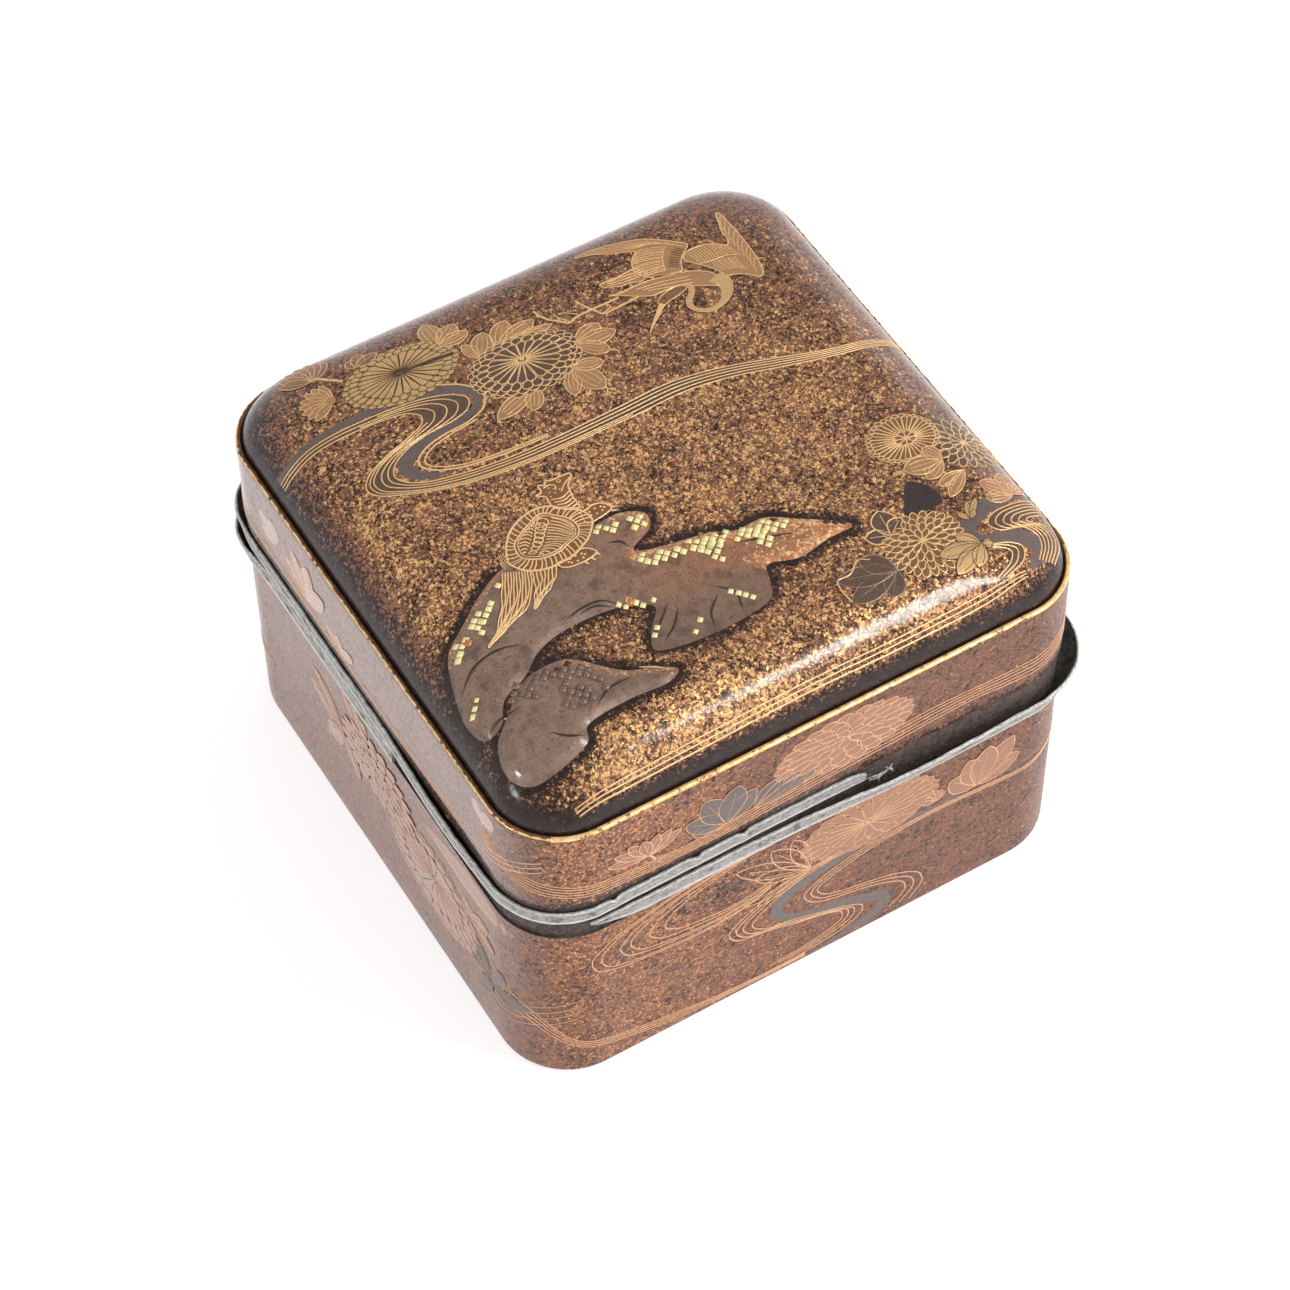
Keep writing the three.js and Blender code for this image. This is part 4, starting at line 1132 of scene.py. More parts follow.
def crane(inlay):
    """Flying crane with its neck bent back and its legs trailing."""
    tail = [(8.95, 25.7), (9.6, 25.8), (11.7, 25.7), (13.8, 25.8), (14.6, 24.6), (13.6, 23.6),
            (12.5, 24.0), (10.8, 24.25), (10, 24.7), (9.2, 25)]
    inlay.outlined(tail, BEIGE_FILL, 0.03, 0.13)
    for up in (0.0, 0.45, 0.9):
        inlay.line([(14, 24.4 + up * 0.8), (11.5, 24.55 + up), (9.8, 25 + up * 0.6)], 0.09, lift=0.06)
    far_wing = [
        (20.2, 24.9), (21.9, 25.1), (23.3, 24.8), (24.6, 24), (25.3, 23.5), (25.8, 24.25), (25.9, 25.7),
        (26.5, 27.4), (27.1, 29.0), (27.4, 29.1), (27.5, 27.8), (27.5, 25.1), (27.4, 22.6), (27.2, 20.1),
        (26.9, 18.4), (26.4, 17.2), (25.8, 17.1), (25.3, 17.6), (24.4, 18.4), (23.3, 19), (22.5, 19.2),
        (22.1, 20.5), (21.25, 21.75), (20.6, 22.6), (19.6, 24)]
    inlay.outlined(far_wing, BEIGE_FILL, 0.03, 0.15)
    inlay.hatch(
        [(20.2, 24.7), (21.9, 24.9), (23.3, 24.6), (24.6, 23.8), (25.4, 23.4)],
        [(20.9, 22.7), (22.3, 22.4), (24.0, 22.3), (25.7, 21.6)], 14, lift=0.06, sag=0.06)
    inlay.line([(20.8, 22.5), (22.3, 22.2), (24.0, 22.1), (25.8, 21.4)], 0.12, lift=0.07)
    inlay.hatch(
        [(22.2, 22.0), (23.6, 21.9), (25.2, 21.3)], [(22.7, 20.0), (24.2, 19.6), (25.3, 18.7)], 10,
        lift=0.06, sag=-0.05)
    inlay.hatch(
        [(25.9, 17.6), (26.1, 20.6), (26.0, 23.8), (26.3, 26.2)],
        [(26.9, 19.6), (27.25, 22.8), (27.35, 26.0), (27.3, 28.9)], 9, 0.09, lift=0.06, sag=0.08)
    near_wing = [
        (8.85, 31.5), (10, 31.7), (12.9, 31.2), (15, 30.5), (17.1, 29.6), (18.75, 28.4), (20, 27.3),
        (21.25, 26.0), (20.4, 25.2), (19.4, 24.25), (18.85, 23.4), (18.5, 22.6), (17.1, 22.8),
        (15.8, 23.1), (14.6, 23.6), (14, 24.25), (13.5, 25.1), (13.65, 25.9), (14, 26.75), (14.6, 27.5),
        (15.3, 28.2), (13.75, 29.0), (12.5, 29.6), (10.8, 30.7)]
    inlay.outlined(near_wing, BEIGE_FILL, 0.06, 0.16)
    inlay.hatch(
        [(15.5, 28.3), (14.7, 27.5), (14.1, 26.7), (13.7, 25.8), (13.7, 24.9), (14.7, 23.7)],
        [(18.9, 26.9), (18.3, 26.4), (17.6, 25.5), (17.2, 24.9), (16.9, 24.1), (16.7, 23.5)], 14,
        lift=0.09, sag=0.05)
    inlay.hatch(
        [(20.8, 25.9), (19.4, 27.2), (17.6, 28.3), (15.8, 28.6)],
        [(19.4, 27.4), (16.6, 29.5), (13.2, 30.8), (9.6, 31.4)], 10, lift=0.09, sag=0.04)
    inlay.hatch(
        [(19.9, 26.2), (19.0, 25.9), (18.1, 25.0), (17.2, 23.8)],
        [(20.5, 25.3), (19.7, 24.8), (18.9, 24.0), (18.4, 23.1)], 9, 0.1, DARK_LINE, 0.1)
    inlay.line([(18.3, 26.75), (17.3, 25.1), (16.7, 23.5)], 0.13, lift=0.1)
    inlay.line([(15.1, 23.35), (16.6, 22.75), (18.4, 22.3)], 0.22, DARK_LINE, lift=0.1)
    body = [(8.95, 23.5), (10, 23.25), (12.5, 23.3), (14.6, 23.15), (16.25, 22.75), (18.3, 22.3),
            (19.9, 21.6), (21.3, 20.4), (21.6, 19.0), (20.9, 18.3), (19.6, 19), (18.3, 19.7),
            (16.7, 20.7), (15, 20.8), (13.3, 20.9), (11.7, 21.75), (10.2, 22.8)]
    inlay.outlined(body, BEIGE_FILL, 0.09, 0.14)
    for down in (0.0, 0.55, 1.1):
        inlay.line(
            [(12.2 + down, 22.7 - down * 0.8), (15.5, 22.2 - down), (18.6, 21.3 - down)], 0.09,
            lift=0.12)
    neck = [(21.3, 19.7), (21.6, 18.4), (21.1, 16.9), (19.9, 15.75), (18.4, 15.4), (16.9, 15.9),
            (16.35, 17), (16.75, 18.05), (17.6, 19.0), (17.9, 19.8), (17.2, 20.6)]
    inlay.tapered(neck, [2.3, 1.7, 1.1, 0.75, 0.6, 0.65, 0.7, 0.8, 0.6], GOLD_FILL, 0.11, 0.05)
    inlay.line(
        [(22.6, 19.2), (22.45, 17.8), (21.7, 16.5), (20.4, 15.6), (18.75, 15.1), (17.4, 15.3),
         (16.3, 16.2), (15.95, 17.2), (16.5, 18.4)], 0.11, lift=0.13)
    head = [(13.3, 19.5), (13.75, 20), (14.6, 20.4), (15.8, 20.65), (17.1, 20.5), (17.5, 19.9),
            (17, 19.6), (15.8, 19.3), (14.6, 19.05), (13.5, 18.8)]
    inlay.outlined(head, BROWN_FILL, 0.12, 0.12)
    inlay.tapered(
        [(13.6, 19.1), (12.4, 18.0), (11.0, 16.8), (9.8, 15.6)], [0.75, 0.55, 0.3, 0.08], GOLD_LINE,
        0.12, 0.04)
    inlay.dot((14.3, 19.75), 0.15, DARK_LINE, 0.17)
    for leg in ([(9.8, 22.7), (5, 22.7), (3.96, 22.6), (2.8, 22.3), (1.9, 23.2), (1.04, 24),
                 (0.4, 25.3), (0.2, 26.1)],
                [(11.9, 21.6), (8.3, 21.4), (7, 21.4), (6.25, 22.6), (5.6, 23.8), (5.2, 25)]):
        inlay.line(leg, 0.28, lift=0.06)
    for toe in ([(4.4, 22.9), (3.1, 24), (2.4, 24.25)], [(3.0, 22.4), (2.2, 23.6), (1.9, 24.4)],
                [(7.0, 21.5), (8.3, 22), (7.7, 22.8)], [(7, 21.4), (6.3, 22.3), (6.1, 22.9)]):
        inlay.line(toe, 0.16, lift=0.06)


def strands(inlay, left, right, count, lift=0.05):
    """Wavy lines of weed between two edges that meet at a tip."""
    for number, share in enumerate(np.linspace(0.03, 0.97, count)):
        path = smooth_curve(between(left, right, share), step=0.2)
        along = np.linspace(0, 1, len(path))[:, None]
        ripple = 0.09 * np.sin(along * 17 + number * 1.9) * np.sin(math.pi * along)
        inlay.blade(path + ripple * np.array([0.8, -0.6]), 0.15, BRIGHT_LINE, lift, 0.04)


def turtle(inlay):
    """Long-lived turtle with a tail of weed, on the rock."""
    left = [(-22.6, -6.3), (-23.9, -8.5), (-25.3, -10.7), (-27.1, -13), (-28.8, -14.2)]
    right = [(-19.7, -7.8), (-20.6, -9.8), (-22.2, -11.7), (-25.7, -13.2), (-28.9, -14.4)]
    inlay.area(left + right[::-1], TURTLE_FILL, 0.02)
    strands(inlay, left, right, 11)
    left = [(-19.7, -7.9), (-20.3, -9.6), (-21.2, -11.2), (-22.1, -12.6)]
    right = [(-16.8, -8.6), (-17.9, -10.2), (-19.8, -11.4), (-22.0, -12.7)]
    inlay.area(left + right[::-1], TURTLE_FILL, 0.025)
    strands(inlay, left, right, 7)
    for share in np.linspace(0, 1, 5):
        inlay.line(
            [(-20.8 - 0.1 * share, -3.7 - 1.5 * share), (-21.5, -4.2 - 1.2 * share),
             (-22.0, -5.0 - 0.9 * share)], 0.1)
    legs = [
        ([(-10.6, -3.3), (-9.9, -3.35), (-9.2, -3.1), (-8.3, -3.25), (-7.6, -3.8), (-7.4, -4.6),
        (-8.3, -4.95), (-9.7, -5.15), (-10.8, -5.2)], [(-7.6, -3.9), (-7.4, -4.4), (-7.6, -4.9)],
        (1, -0.5)), ([(-16.7, -8.5), (-15, -8.5), (-13.7, -8.1), (-12.7, -8.5), (-12.15, -9.4),
        (-13.1, -9.75), (-14.6, -9.8), (-15.9, -9.6), (-16.6, -9.1)], [(-12.3, -9.4), (-13.1, -9.7),
        (-14.0, -9.8)], (0.4, -1))]
    for shape, claws, way in legs:
        inlay.outlined(shape, TURTLE_FILL, 0.03, 0.18, BRIGHT_LINE)
        middle = np.mean(shape, 0)
        for angle in np.linspace(0, 5.4, 8):
            inlay.dot(
                middle + 0.75 * np.array([math.cos(angle) * 1.4, math.sin(angle) * 0.5]), 0.15,
                BRIGHT_LINE, 0.05)
        for claw in claws:
            path = np.array([claw, np.add(claw, np.array(way) * 0.35), np.add(claw, np.array(way) * 0.7)])
            inlay.blade(path, np.array([0.36, 0.28, 0.06]), BRIGHT_LINE, 0.05, 0.04)
    head = [(-12.9, -1.2), (-12.9, 0.2), (-12.9, 0.7), (-13.8, 1.4), (-13.0, 1.5), (-12.8, 2.6),
            (-12.2, 2.2), (-11.7, 2.7), (-11.4, 2.5), (-10.1, 2.4), (-8.9, 2.25), (-8.85, 1.95),
            (-9.3, 1.4), (-9.9, 0.8), (-10.1, 0), (-10.3, -1.2), (-10.4, -2.6), (-11.6, -2.0)]
    inlay.outlined(head, TURTLE_FILL, 0.04, 0.19, BRIGHT_LINE)
    inlay.line([(-9.0, 1.75), (-9.8, 1.4), (-10.4, 1.0), (-11.0, 0.4)], 0.14, BRIGHT_LINE, 0.06)
    inlay.line([(-12.5, 1.9), (-11.8, 2.0), (-11.2, 1.6), (-11.4, 0.9)], 0.14, BRIGHT_LINE, 0.06)
    inlay.dot((-10.5, 1.9), 0.27, GOLD_LINE, 0.06)
    inlay.dot((-10.5, 1.9), 0.13, DARK_LINE, 0.11)
    for share in np.linspace(0.08, 1, 5):
        inlay.line(
            [(-12.6 + 0.4 * share, 0.2 - 2.2 * share), (-11.4, -0.2 - 2.0 * share),
             (-10.2, 0.2 - 2.2 * share)], 0.15, BRIGHT_LINE, 0.06)
    for spot in ((-12.2, 1.0), (-11.7, 0.6), (-12.4, 0.4), (-11.5, 1.2), (-11, 0.8), (-12, 1.6)):
        inlay.dot(spot, 0.12, GOLD_LINE, 0.06)
    rim = [(-13.2, -0.7), (-15, -0.2), (-16.8, -0.5), (-18.6, -1.35), (-19.9, -2.7), (-20.8, -4.3),
           (-21.1, -5.6), (-20.7, -6.9), (-19.7, -7.8), (-18.1, -8.5), (-16.6, -8.6),
           (-14.8, -8.5), (-13.2, -7.9), (-11.9, -7.2), (-10.8, -6), (-10.1, -4.9),
           (-10.2, -3.8), (-10.7, -2.9), (-11.9, -2)]
    shell = [
        (-13.9, -1.5), (-14.8, -1.1), (-16.5, -1.7), (-18.1, -2.5), (-19.3, -3.4), (-19.6, -4.9),
        (-19.3, -6), (-18.1, -6.9), (-15.9, -7.2), (-14.1, -6.7), (-12.8, -6.3), (-12, -5.15), (-12, -4),
        (-12.6, -2.9), (-13.4, -2.1)]
    outer, inner = smooth_curve(rim, True, 0.2), smooth_curve(shell, True, 0.2)
    inlay.area(rim, TURTLE_FILL, 0.06, 0.6)
    inlay.line(rim, 0.26, BRIGHT_LINE, 0.07, closed=True)
    inlay.line(shell, 0.19, BRIGHT_LINE, 0.09, closed=True)
    heart = inner.mean(0)
    inlay.line(
        [tuple(heart + (np.array(p) - heart) * 0.9) for p in shell], 0.13, BRIGHT_LINE, 0.1,
        closed=True)
    for share in np.arange(46) / 46:
        p = outer[int(share * len(outer))]
        q = inner[np.argmin(np.linalg.norm(inner - p, axis=1))]
        slant = np.array([(q - p)[1], -(q - p)[0]]) * 0.3
        inlay.blade(np.array([p, (p + q + slant) / 2, q + slant * 0.6]), 0.15, BRIGHT_LINE, 0.09, 0.035)
    spine = smooth_curve([(-18.3, -5.7), (-16.8, -4.4), (-15.6, -2.9), (-14.6, -1.9)], step=0.1)
    along = (spine[-1] - spine[0]) / np.linalg.norm(spine[-1] - spine[0])
    across = np.array([-along[1], along[0]])
    angle = np.linspace(-1.5, 1.5, 9)
    for share in np.linspace(0.05, 0.9, 8):
        at = spine[int(share * (len(spine) - 1))]
        size = 0.4 + 0.3 * share
        for flip in (-1, 1):
            arc = at + np.outer(np.sin(angle) * size * 0.8, along)
            arc = arc + np.outer(np.cos(angle) * size * flip, across)
            inlay.blade(arc, 0.17, BRIGHT_LINE, 0.12, 0.035)
    limit = heart + (inner - heart) * 0.88
    for flip in (-1, 1):
        for share in np.linspace(-0.05, 1.05, 14):
            at = spine[int(np.clip(share, 0, 1) * (len(spine) - 1))]
            at = at + along * (share - np.clip(share, 0, 1)) * 5 + across * flip * 0.8
            way = across * flip + along * (share - 0.5) * (0.9 if flip > 0 else -0.5)
            reach = [d for d in np.linspace(0.2, 5, 40)
                     if distance_inside(np.array([at + way * d]), limit)[0] > 0]
            if reach:
                t = np.linspace(0, reach[-1], 7)[:, None]
                curve = at + way * t + along * np.sin(t / max(reach[-1], 0.1) * 3.1) * 0.25
                inlay.blade(curve, 0.17, BRIGHT_LINE, 0.1, 0.035)


# Flowers and leaves of the upper left
top.chrysanthemum(
    (-17.75, 25.7), (7.45, 4.3), [(0.83, 1.0, 34), (0.66, 0.9, 32), (0.07, 0.74, 28)], GOLD_FILL,
    DARK_LINE, 0.1, ground=GOLD_FILL, heart=(0.15, 0.4), seed=2)
top.tapered([(-17.3, 26.0), (-14.5, 25.7), (-11, 25.3)], [0.2, 0.5, 0.45], DARK_LINE, 0.15)
top.fan((-26.4, 26.4), 82, 215, 8, 3.9, 1.15, BEIGE_FILL, GOLD_LINE, 0.03)
top.dot((-26.5, 26.5), 0.6, BEIGE_FILL, 0.16)
top.fan((-26.9, 31.0), 25, 155, 7, 4.4, 1.6, FADED_FILL, COPPER_LINE, 0.02)
top.line([(-26.2, 31.2), (-25.2, 30.0), (-23.9, 28.6)], 0.4, COPPER_LINE)
top.leaf(
    (-21.6, 29.7), [(-22.0, 31.2, 1.4), (-20.2, 31.5, 1.6), (-18.5, 30.4, 1.4)], FADED_FILL,
    COPPER_LINE, 0.015, veins=1)
for stem, tips, lift in (
        ((-11.9, 27.2), [(-11.7, 31.6, 2.6), (-8.6, 29.4, 2.4), (-7.9, 27.5, 1.9)], 0.03),
        ((-8.6, 22.9), [(-9.6, 25.9, 1.6), (-6.5, 26.4, 2.5)], 0.03),
        ((-6.3, 23.2), [(-3.4, 26.7, 2.6), (-0.5, 25.0, 2.3), (1.0, 23.2, 1.5)], 0.04),
        ((1.7, 18.8), [(5.7, 20.4, 2.4), (6.8, 18.4, 2.3), (4.7, 16.0, 2.1)], 0.03),
        ((-5.6, 15.8), [(-11.7, 13.6, 2.2), (-7.5, 12.5, 2.1)], 0.03),
        ((-0.6, 16.0), [(-2.4, 12.0, 2.0), (1.2, 11.2, 2.9), (3.1, 14.8, 1.9)], 0.03)):
    top.leaf(stem, tips, BEIGE_FILL, GOLD_LINE, lift, veins=3)
top.line([(1.2, 11.4), (1.3, 10.9), (0.9, 10.4)], 0.16)
top.dot((0.9, 10.2), 0.5, GOLD_FILL, 0.04, 0.7)
top.chrysanthemum(
    (-4.8, 19.4), (7.1, 4.7), [(0.86, 1.0, 30), (0.74, 0.93, 27), (0.6, 0.84, 25), (0.07, 0.66, 21)],
    SOFT_DARK, GOLD_LINE, 0.14, lift=0.06, heart=(0.0, 0.7), seed=4)
crane(top)
turtle(top)

# Flowers and leaves of the lower right
top.chrysanthemum(
    (32.6, -16.1), (4.2, 4.2), [(0.6, 1.0, 18), (0.35, 0.72, 15), (0.06, 0.42, 10)], SOFT_DARK,
    GOLD_LINE, 0.13, lift=0.03, seed=6, pointed=0.8)
top.chrysanthemum(
    (26.5, -12.6), (4.5, 3.5), [(0.84, 1.0, 34), (0.2, 0.9, 34), (0.05, 0.3, 8)], BROWN_FILL, GOLD_LINE,
    0.12, lift=0.04, heart=(0.3, -0.3), seed=7)
top.leaf(
    (28.6, -17.5), [(25.6, -19.2, 2.0), (23.9, -16.8, 2.6), (27.6, -15.0, 1.8)], BEIGE_FILL, GOLD_LINE,
    0.09, veins=3)
top.dot((23.3, -16.8), 0.6, GOLD_FILL, 0.05, 0.55)
top.area(
    [(23.4, -18.3), (21.6, -20.4), (20.5, -22.6), (23, -22.9), (25.3, -22.6), (25.3, -20.5)],
    DARK_PATCH, 0.015)
top.leaf((30.0, -20.0), [(26.2, -20.6, 1.5), (26.4, -22.6, 1.5)], BEIGE_FILL, GOLD_LINE, 0.05)
top.leaf(
    (33.4, -24.9), [(30.0, -24.6, 1.8), (30.6, -22.2, 2.3), (33.9, -21.4, 2.3), (35.3, -23.2, 1.9)],
    BEIGE_FILL, COPPER_LINE, 0.04, veins=3)
top.leaf(
    (17.6, -23.9), [(14.8, -22.9, 2.0), (18.1, -20.3, 2.9), (19.8, -22.3, 2.0)], SOFT_DARK, GOLD_LINE,
    0.03, veins=1, thin=0.17)
top.leaf(
    (15.4, -28.3), [(13.2, -31, 2.4), (8.8, -29.6, 2.6), (8.8, -26.3, 2.8), (12.5, -25.0, 2.6)],
    SOFT_DARK, GREY_LINE, 0.03, veins=1)
top.line(
    [(8.8, -29.5), (8.6, -27.6), (8.9, -26.3), (10.6, -26.2), (12.4, -25.0), (13.6, -25.6)], 0.18,
    lift=0.1)
top.chrysanthemum(
    (20.2, -26.7), (5.0, 4.5), [(0.72, 1.0, 26), (0.5, 0.82, 21), (0.27, 0.62, 15), (0.04, 0.4, 9)],
    BROWN_FILL, GOLD_LINE, 0.14, lift=0.04, heart=(0, 0.4), seed=8, pointed=0.7)
top.leaf(
    (25.9, -29.7),
    [(23.6, -27.7, 1.9), (20.5, -29.1, 2.0), (21.2, -31.9, 2.1), (23.9, -32.1, 1.8),
     (27.1, -30.2, 1.2)], GOLD_FILL, DARK_LINE, 0.14, thin=0.1)
top.leaf(
    (26.6, -26.3), [(25.7, -24.9, 0.8), (27.6, -24.0, 0.8), (28.9, -24.0, 0.8), (27.9, -25.4, 0.7)],
    GOLD_FILL, DARK_LINE, 0.05, veins=1, thin=0.08)
top.tapered(
    [(36, -25.1), (32, -25.2), (28.8, -25.5), (26.3, -26.6), (25.7, -28), (26.75, -29.5), (30, -30.1),
     (31.75, -31.2), (32, -32.6), (30, -33.9)],
    [0.6, 0.9, 1.7, 2.1, 1.9, 1.2, 1.8, 2.2, 1.9, 0.6], GREY_FILL)
top.streams(
    [(35.9, -25.9), (32.0, -26.2), (29.0, -26.8), (28.1, -27.8), (29.0, -28.9), (32.0, -29.4),
     (33.0, -30.6), (32.8, -31.8), (31.4, -33.4)],
    [(36.1, -27.9), (34.6, -28.1), (33.2, -28.3), (32.8, -28.6), (33.4, -29.0), (35.2, -29.6),
     (35.8, -30.8), (35, -32.3), (33.2, -34.0)], (0.0, 0.2, 0.4, 0.6, 0.8, 1.0), 0.15, bed=SOFT_DARK)
top.streams(
    [(27.2, -30.2), (29.2, -30.7), (30.3, -31.5), (29.6, -32.9), (26.5, -34.1)],
    [(26.8, -30.4), (28.0, -31.0), (28.7, -31.7), (27.8, -32.8), (25.5, -33.8)], (0.0, 0.5, 1.0), 0.15,
    bed=SOFT_DARK)


# Pitch and slant of the lattice that the cut squares lie on
SQUARE_PITCH = 0.86
LATTICE_TURN = math.radians(41)


def cut_squares(inlay, path, reach, keep, size, material=CUT_GOLD, seed=1):
    """Cut squares on a slanting lattice near a path, some of them missing."""
    own = np.random.default_rng(seed)
    path = smooth_curve(path, step=0.3)
    u = np.array([math.cos(LATTICE_TURN), math.sin(LATTICE_TURN)]) * SQUARE_PITCH
    v = np.array([-math.sin(LATTICE_TURN), math.cos(LATTICE_TURN)]) * SQUARE_PITCH
    middle = path.mean(0)
    span = int(np.ptp(path, axis=0).max() / SQUARE_PITCH) + 3
    for i in range(-span, span + 1):
        for j in range(-span, span + 1):
            at = middle + u * i + v * j
            if np.linalg.norm(path - at, axis=1).min() < reach and own.random() < keep:
                square(
                    inlay, at + own.normal(0, 0.04, 2), size * own.uniform(0.9, 1.05),
                    LATTICE_TURN + own.normal(0, 0.06), material)


def square(inlay, at, size, tilt, material):
    """One cut square of gold, a thin tile with its four edges."""
    c, s = math.cos(tilt) * size / 2, math.sin(tilt) * size / 2
    corners = np.add(at, [(-c + s, -s - c), (c + s, s - c), (c - s, s + c), (-c - s, -s + c)])
    points = np.vstack([inlay.surface.place(corners, lift) for lift in (0.05, -0.03)])
    inlay.keep(material, points, [(0, 1, 2, 3), (4, 5, 1, 0), (5, 6, 2, 1), (6, 7, 3, 2), (7, 4, 0, 3)])


for path, reach, keep, size in (
        ([(-7.8, -13.2), (-4, -13.8), (0, -14.6), (3.5, -15.4), (7.4, -16.2)], 0.95, 0.8, 0.7),
        ([(-3.4, -14.9), (-0.9, -15.6)], 0.9, 0.8, 0.7),
        ([(-0.5, -15.6), (-0.7, -17.0)], 0.6, 0.9, 0.68),
        ([(4.9, -16.2), (4.7, -18.0)], 0.8, 0.85, 0.68),
        ([(-32.0, -13.4), (-30.4, -11.7), (-28.5, -10.9)], 0.75, 0.72, 0.68),
        ([(-28.6, -12.7), (-28.4, -11.6)], 0.5, 0.8, 0.66),
        ([(-27.6, -10.6), (-25.8, -9.4), (-23.8, -7.8)], 0.7, 0.72, 0.68),
        ([(-10.6, -6.8), (-8.6, -7.3)], 0.7, 0.85, 0.68),
        ([(-6.4, -7.8), (-5.7, -8.3)], 0.85, 1.0, 0.72),
        ([(-13.7, -17.1), (-11.4, -17.4), (-10.4, -18.2)], 0.6, 0.6, 0.6),
        ([(-12.5, -22.5), (-12.1, -21.8)], 0.5, 0.8, 0.62),
        ([(-8.6, -24.4), (-7.8, -23.7), (-6.7, -23.2)], 0.5, 0.8, 0.62),
        ([(-2.3, -21.4), (-0.8, -23.3), (0.7, -23.6)], 0.6, 0.65, 0.62),
        ([(-33.2, -19), (-34.1, -20.4)], 0.5, 0.7, 0.52)):
    cut_squares(top, path, reach, keep, size, seed=len(path) + int(abs(path[0][0])))
cut_squares(
    top, [(-29, -21.5), (-26, -21.5), (-21, -24.4), (-24, -25.2)], 1.5, 0.6, 0.74, material=RUBBED_CUT,
    seed=15)
for at in ((-30.4, -12.5), (-12.4, -17.1)):
    square(top, at, 0.8, 0.7, CUT_ORANGE)
for at in ((1.1, -14.2), (7.2, -15.6), (12.3, -18.7), (13.1, -19.3), (13.9, -19.7), (-24, -21),
           (-22.6, -20.8)):
    square(top, at, 0.7, 0.6, CUT_RED)
top.tapered([(-16, -25), (-14.4, -26), (-13, -27.4)], [0.1, 0.3, 0.1], GOLD_LINE, 0.02, 0.03)
# Dark lines laid flat along the rocks' creases: painted shade of the crevices.
for crease in (
        [(-34.2, -17.4), (-31.5, -15.6), (-28, -15.2), (-25.6, -15.9)],
        [(-20.6, -15.9), (-17.6, -15.2), (-15.2, -15.4), (-13.6, -16.7)],
        [(-18, -15.7), (-16, -15.7), (-14.4, -16.6)],
        [(-10.4, -9.0), (-9.2, -9.5), (-8.6, -10.6)],
        [(1.6, -16.2), (4.6, -17.2), (8.2, -18.4)],
        [(-13.2, -22.4), (-11.2, -21.3), (-9.0, -19.4)],
        [(-11.8, -23.6), (-9.8, -22.2), (-8.2, -20.4)],
        [(-3.4, -20.0), (-1.7, -21.8), (-2.2, -24.4)],
        [(-6.2, -24.9), (-5.4, -22.8), (-3.6, -21.2)],
        [(-33.8, -23.2), (-31.6, -22.6), (-29.6, -22.9)],
        [(-28.6, -27.4), (-27.2, -28.8), (-25.6, -29.6)],
        [(-22.6, -27.2), (-20.4, -26.0), (-17.8, -25.9)]):
    top.tapered(crease, [0.05, 0.26, 0.28, 0.06], DARK_PATCH, 0.0)
top.finish()

# Front side
front_lid = Inlay("lid_front", Side(0.0), "lid")
front_lid.leaf(
    (-22.4, 38.7),
    [(-27.6, 40.0, 1.5), (-26.8, 41.4, 1.5), (-25.0, 42.0, 1.5), (-18.3, 40.9, 1.5), (-19.6, 41.8, 1.5),
     (-21.2, 42.0, 1.5), (-23.2, 41.9, 1.6)], COPPER_FILL, COPPER_LINE, 0.012, veins=1, thin=0.15)
front_lid.line([(-22.6, 38.9), (-22.0, 38.1), (-21.5, 37.2)], 0.3, COPPER_LINE)
front_lid.chrysanthemum(
    (3.1, 42.0), (9.5, 4.9), [(0.74, 1.0, 24), (0.46, 0.82, 18), (0.24, 0.56, 12), (0.05, 0.34, 7)],
    COPPER_FILL, COPPER_LINE, 0.15, lift=0.03, ground=COPPER_FILL, heart=(0.4, 0.6), seed=12,
    pointed=0.4)
front_lid.leaf(
    (-12.3, 37.4),
    [(-16.8, 38.4, 2.4), (-17.6, 40.6, 3.0), (-15.3, 43.5, 3.4), (-8.6, 41.4, 3.0), (-11, 43.6, 3.6)],
    GREY_FILL, COPPER_LINE, 0.012, veins=1, thin=0.1)
front_lid.leaf(
    (-8.6, 37.5), [(-5.6, 41.0, 2.4), (-2.2, 40.9, 2.4), (0.1, 39.4, 2.2)], GREY_FILL, COPPER_LINE,
    0.012, veins=1, thin=0.1)
front_lid.streams(
    [(-44, 43.6), (-40, 41.2), (-37, 39.8), (-32, 38.7), (-27.4, 37.9), (-22.5, 37.3), (-17.7, 37),
     (-12.3, 37.2), (-8, 37.7), (-3.3, 38.1), (1.5, 38.6), (6.4, 39.2), (11.2, 39.4), (16, 39.6),
     (20.8, 39.4), (25.6, 39.2), (30.4, 39.4), (32.8, 39.9), (40, 41)],
    [(-44, 41.5), (-40, 39), (-37, 37.6), (-32, 36.7), (-27.4, 36.0), (-22.5, 35.6), (-17.7, 35.5),
     (-12.3, 35.5), (-8, 35.7), (-3.3, 36.0), (1.5, 36.3), (6.4, 36.6), (11.2, 36.8), (16, 37.2),
     (20.8, 37.3), (25.6, 36.8), (30.4, 36.7), (32.8, 37.2), (40, 38.2)], (0.0, 0.24, 0.5, 0.76, 1.0),
    0.15, COPPER_LINE)
front_body = Inlay("body_front", Side(0.0), "box")
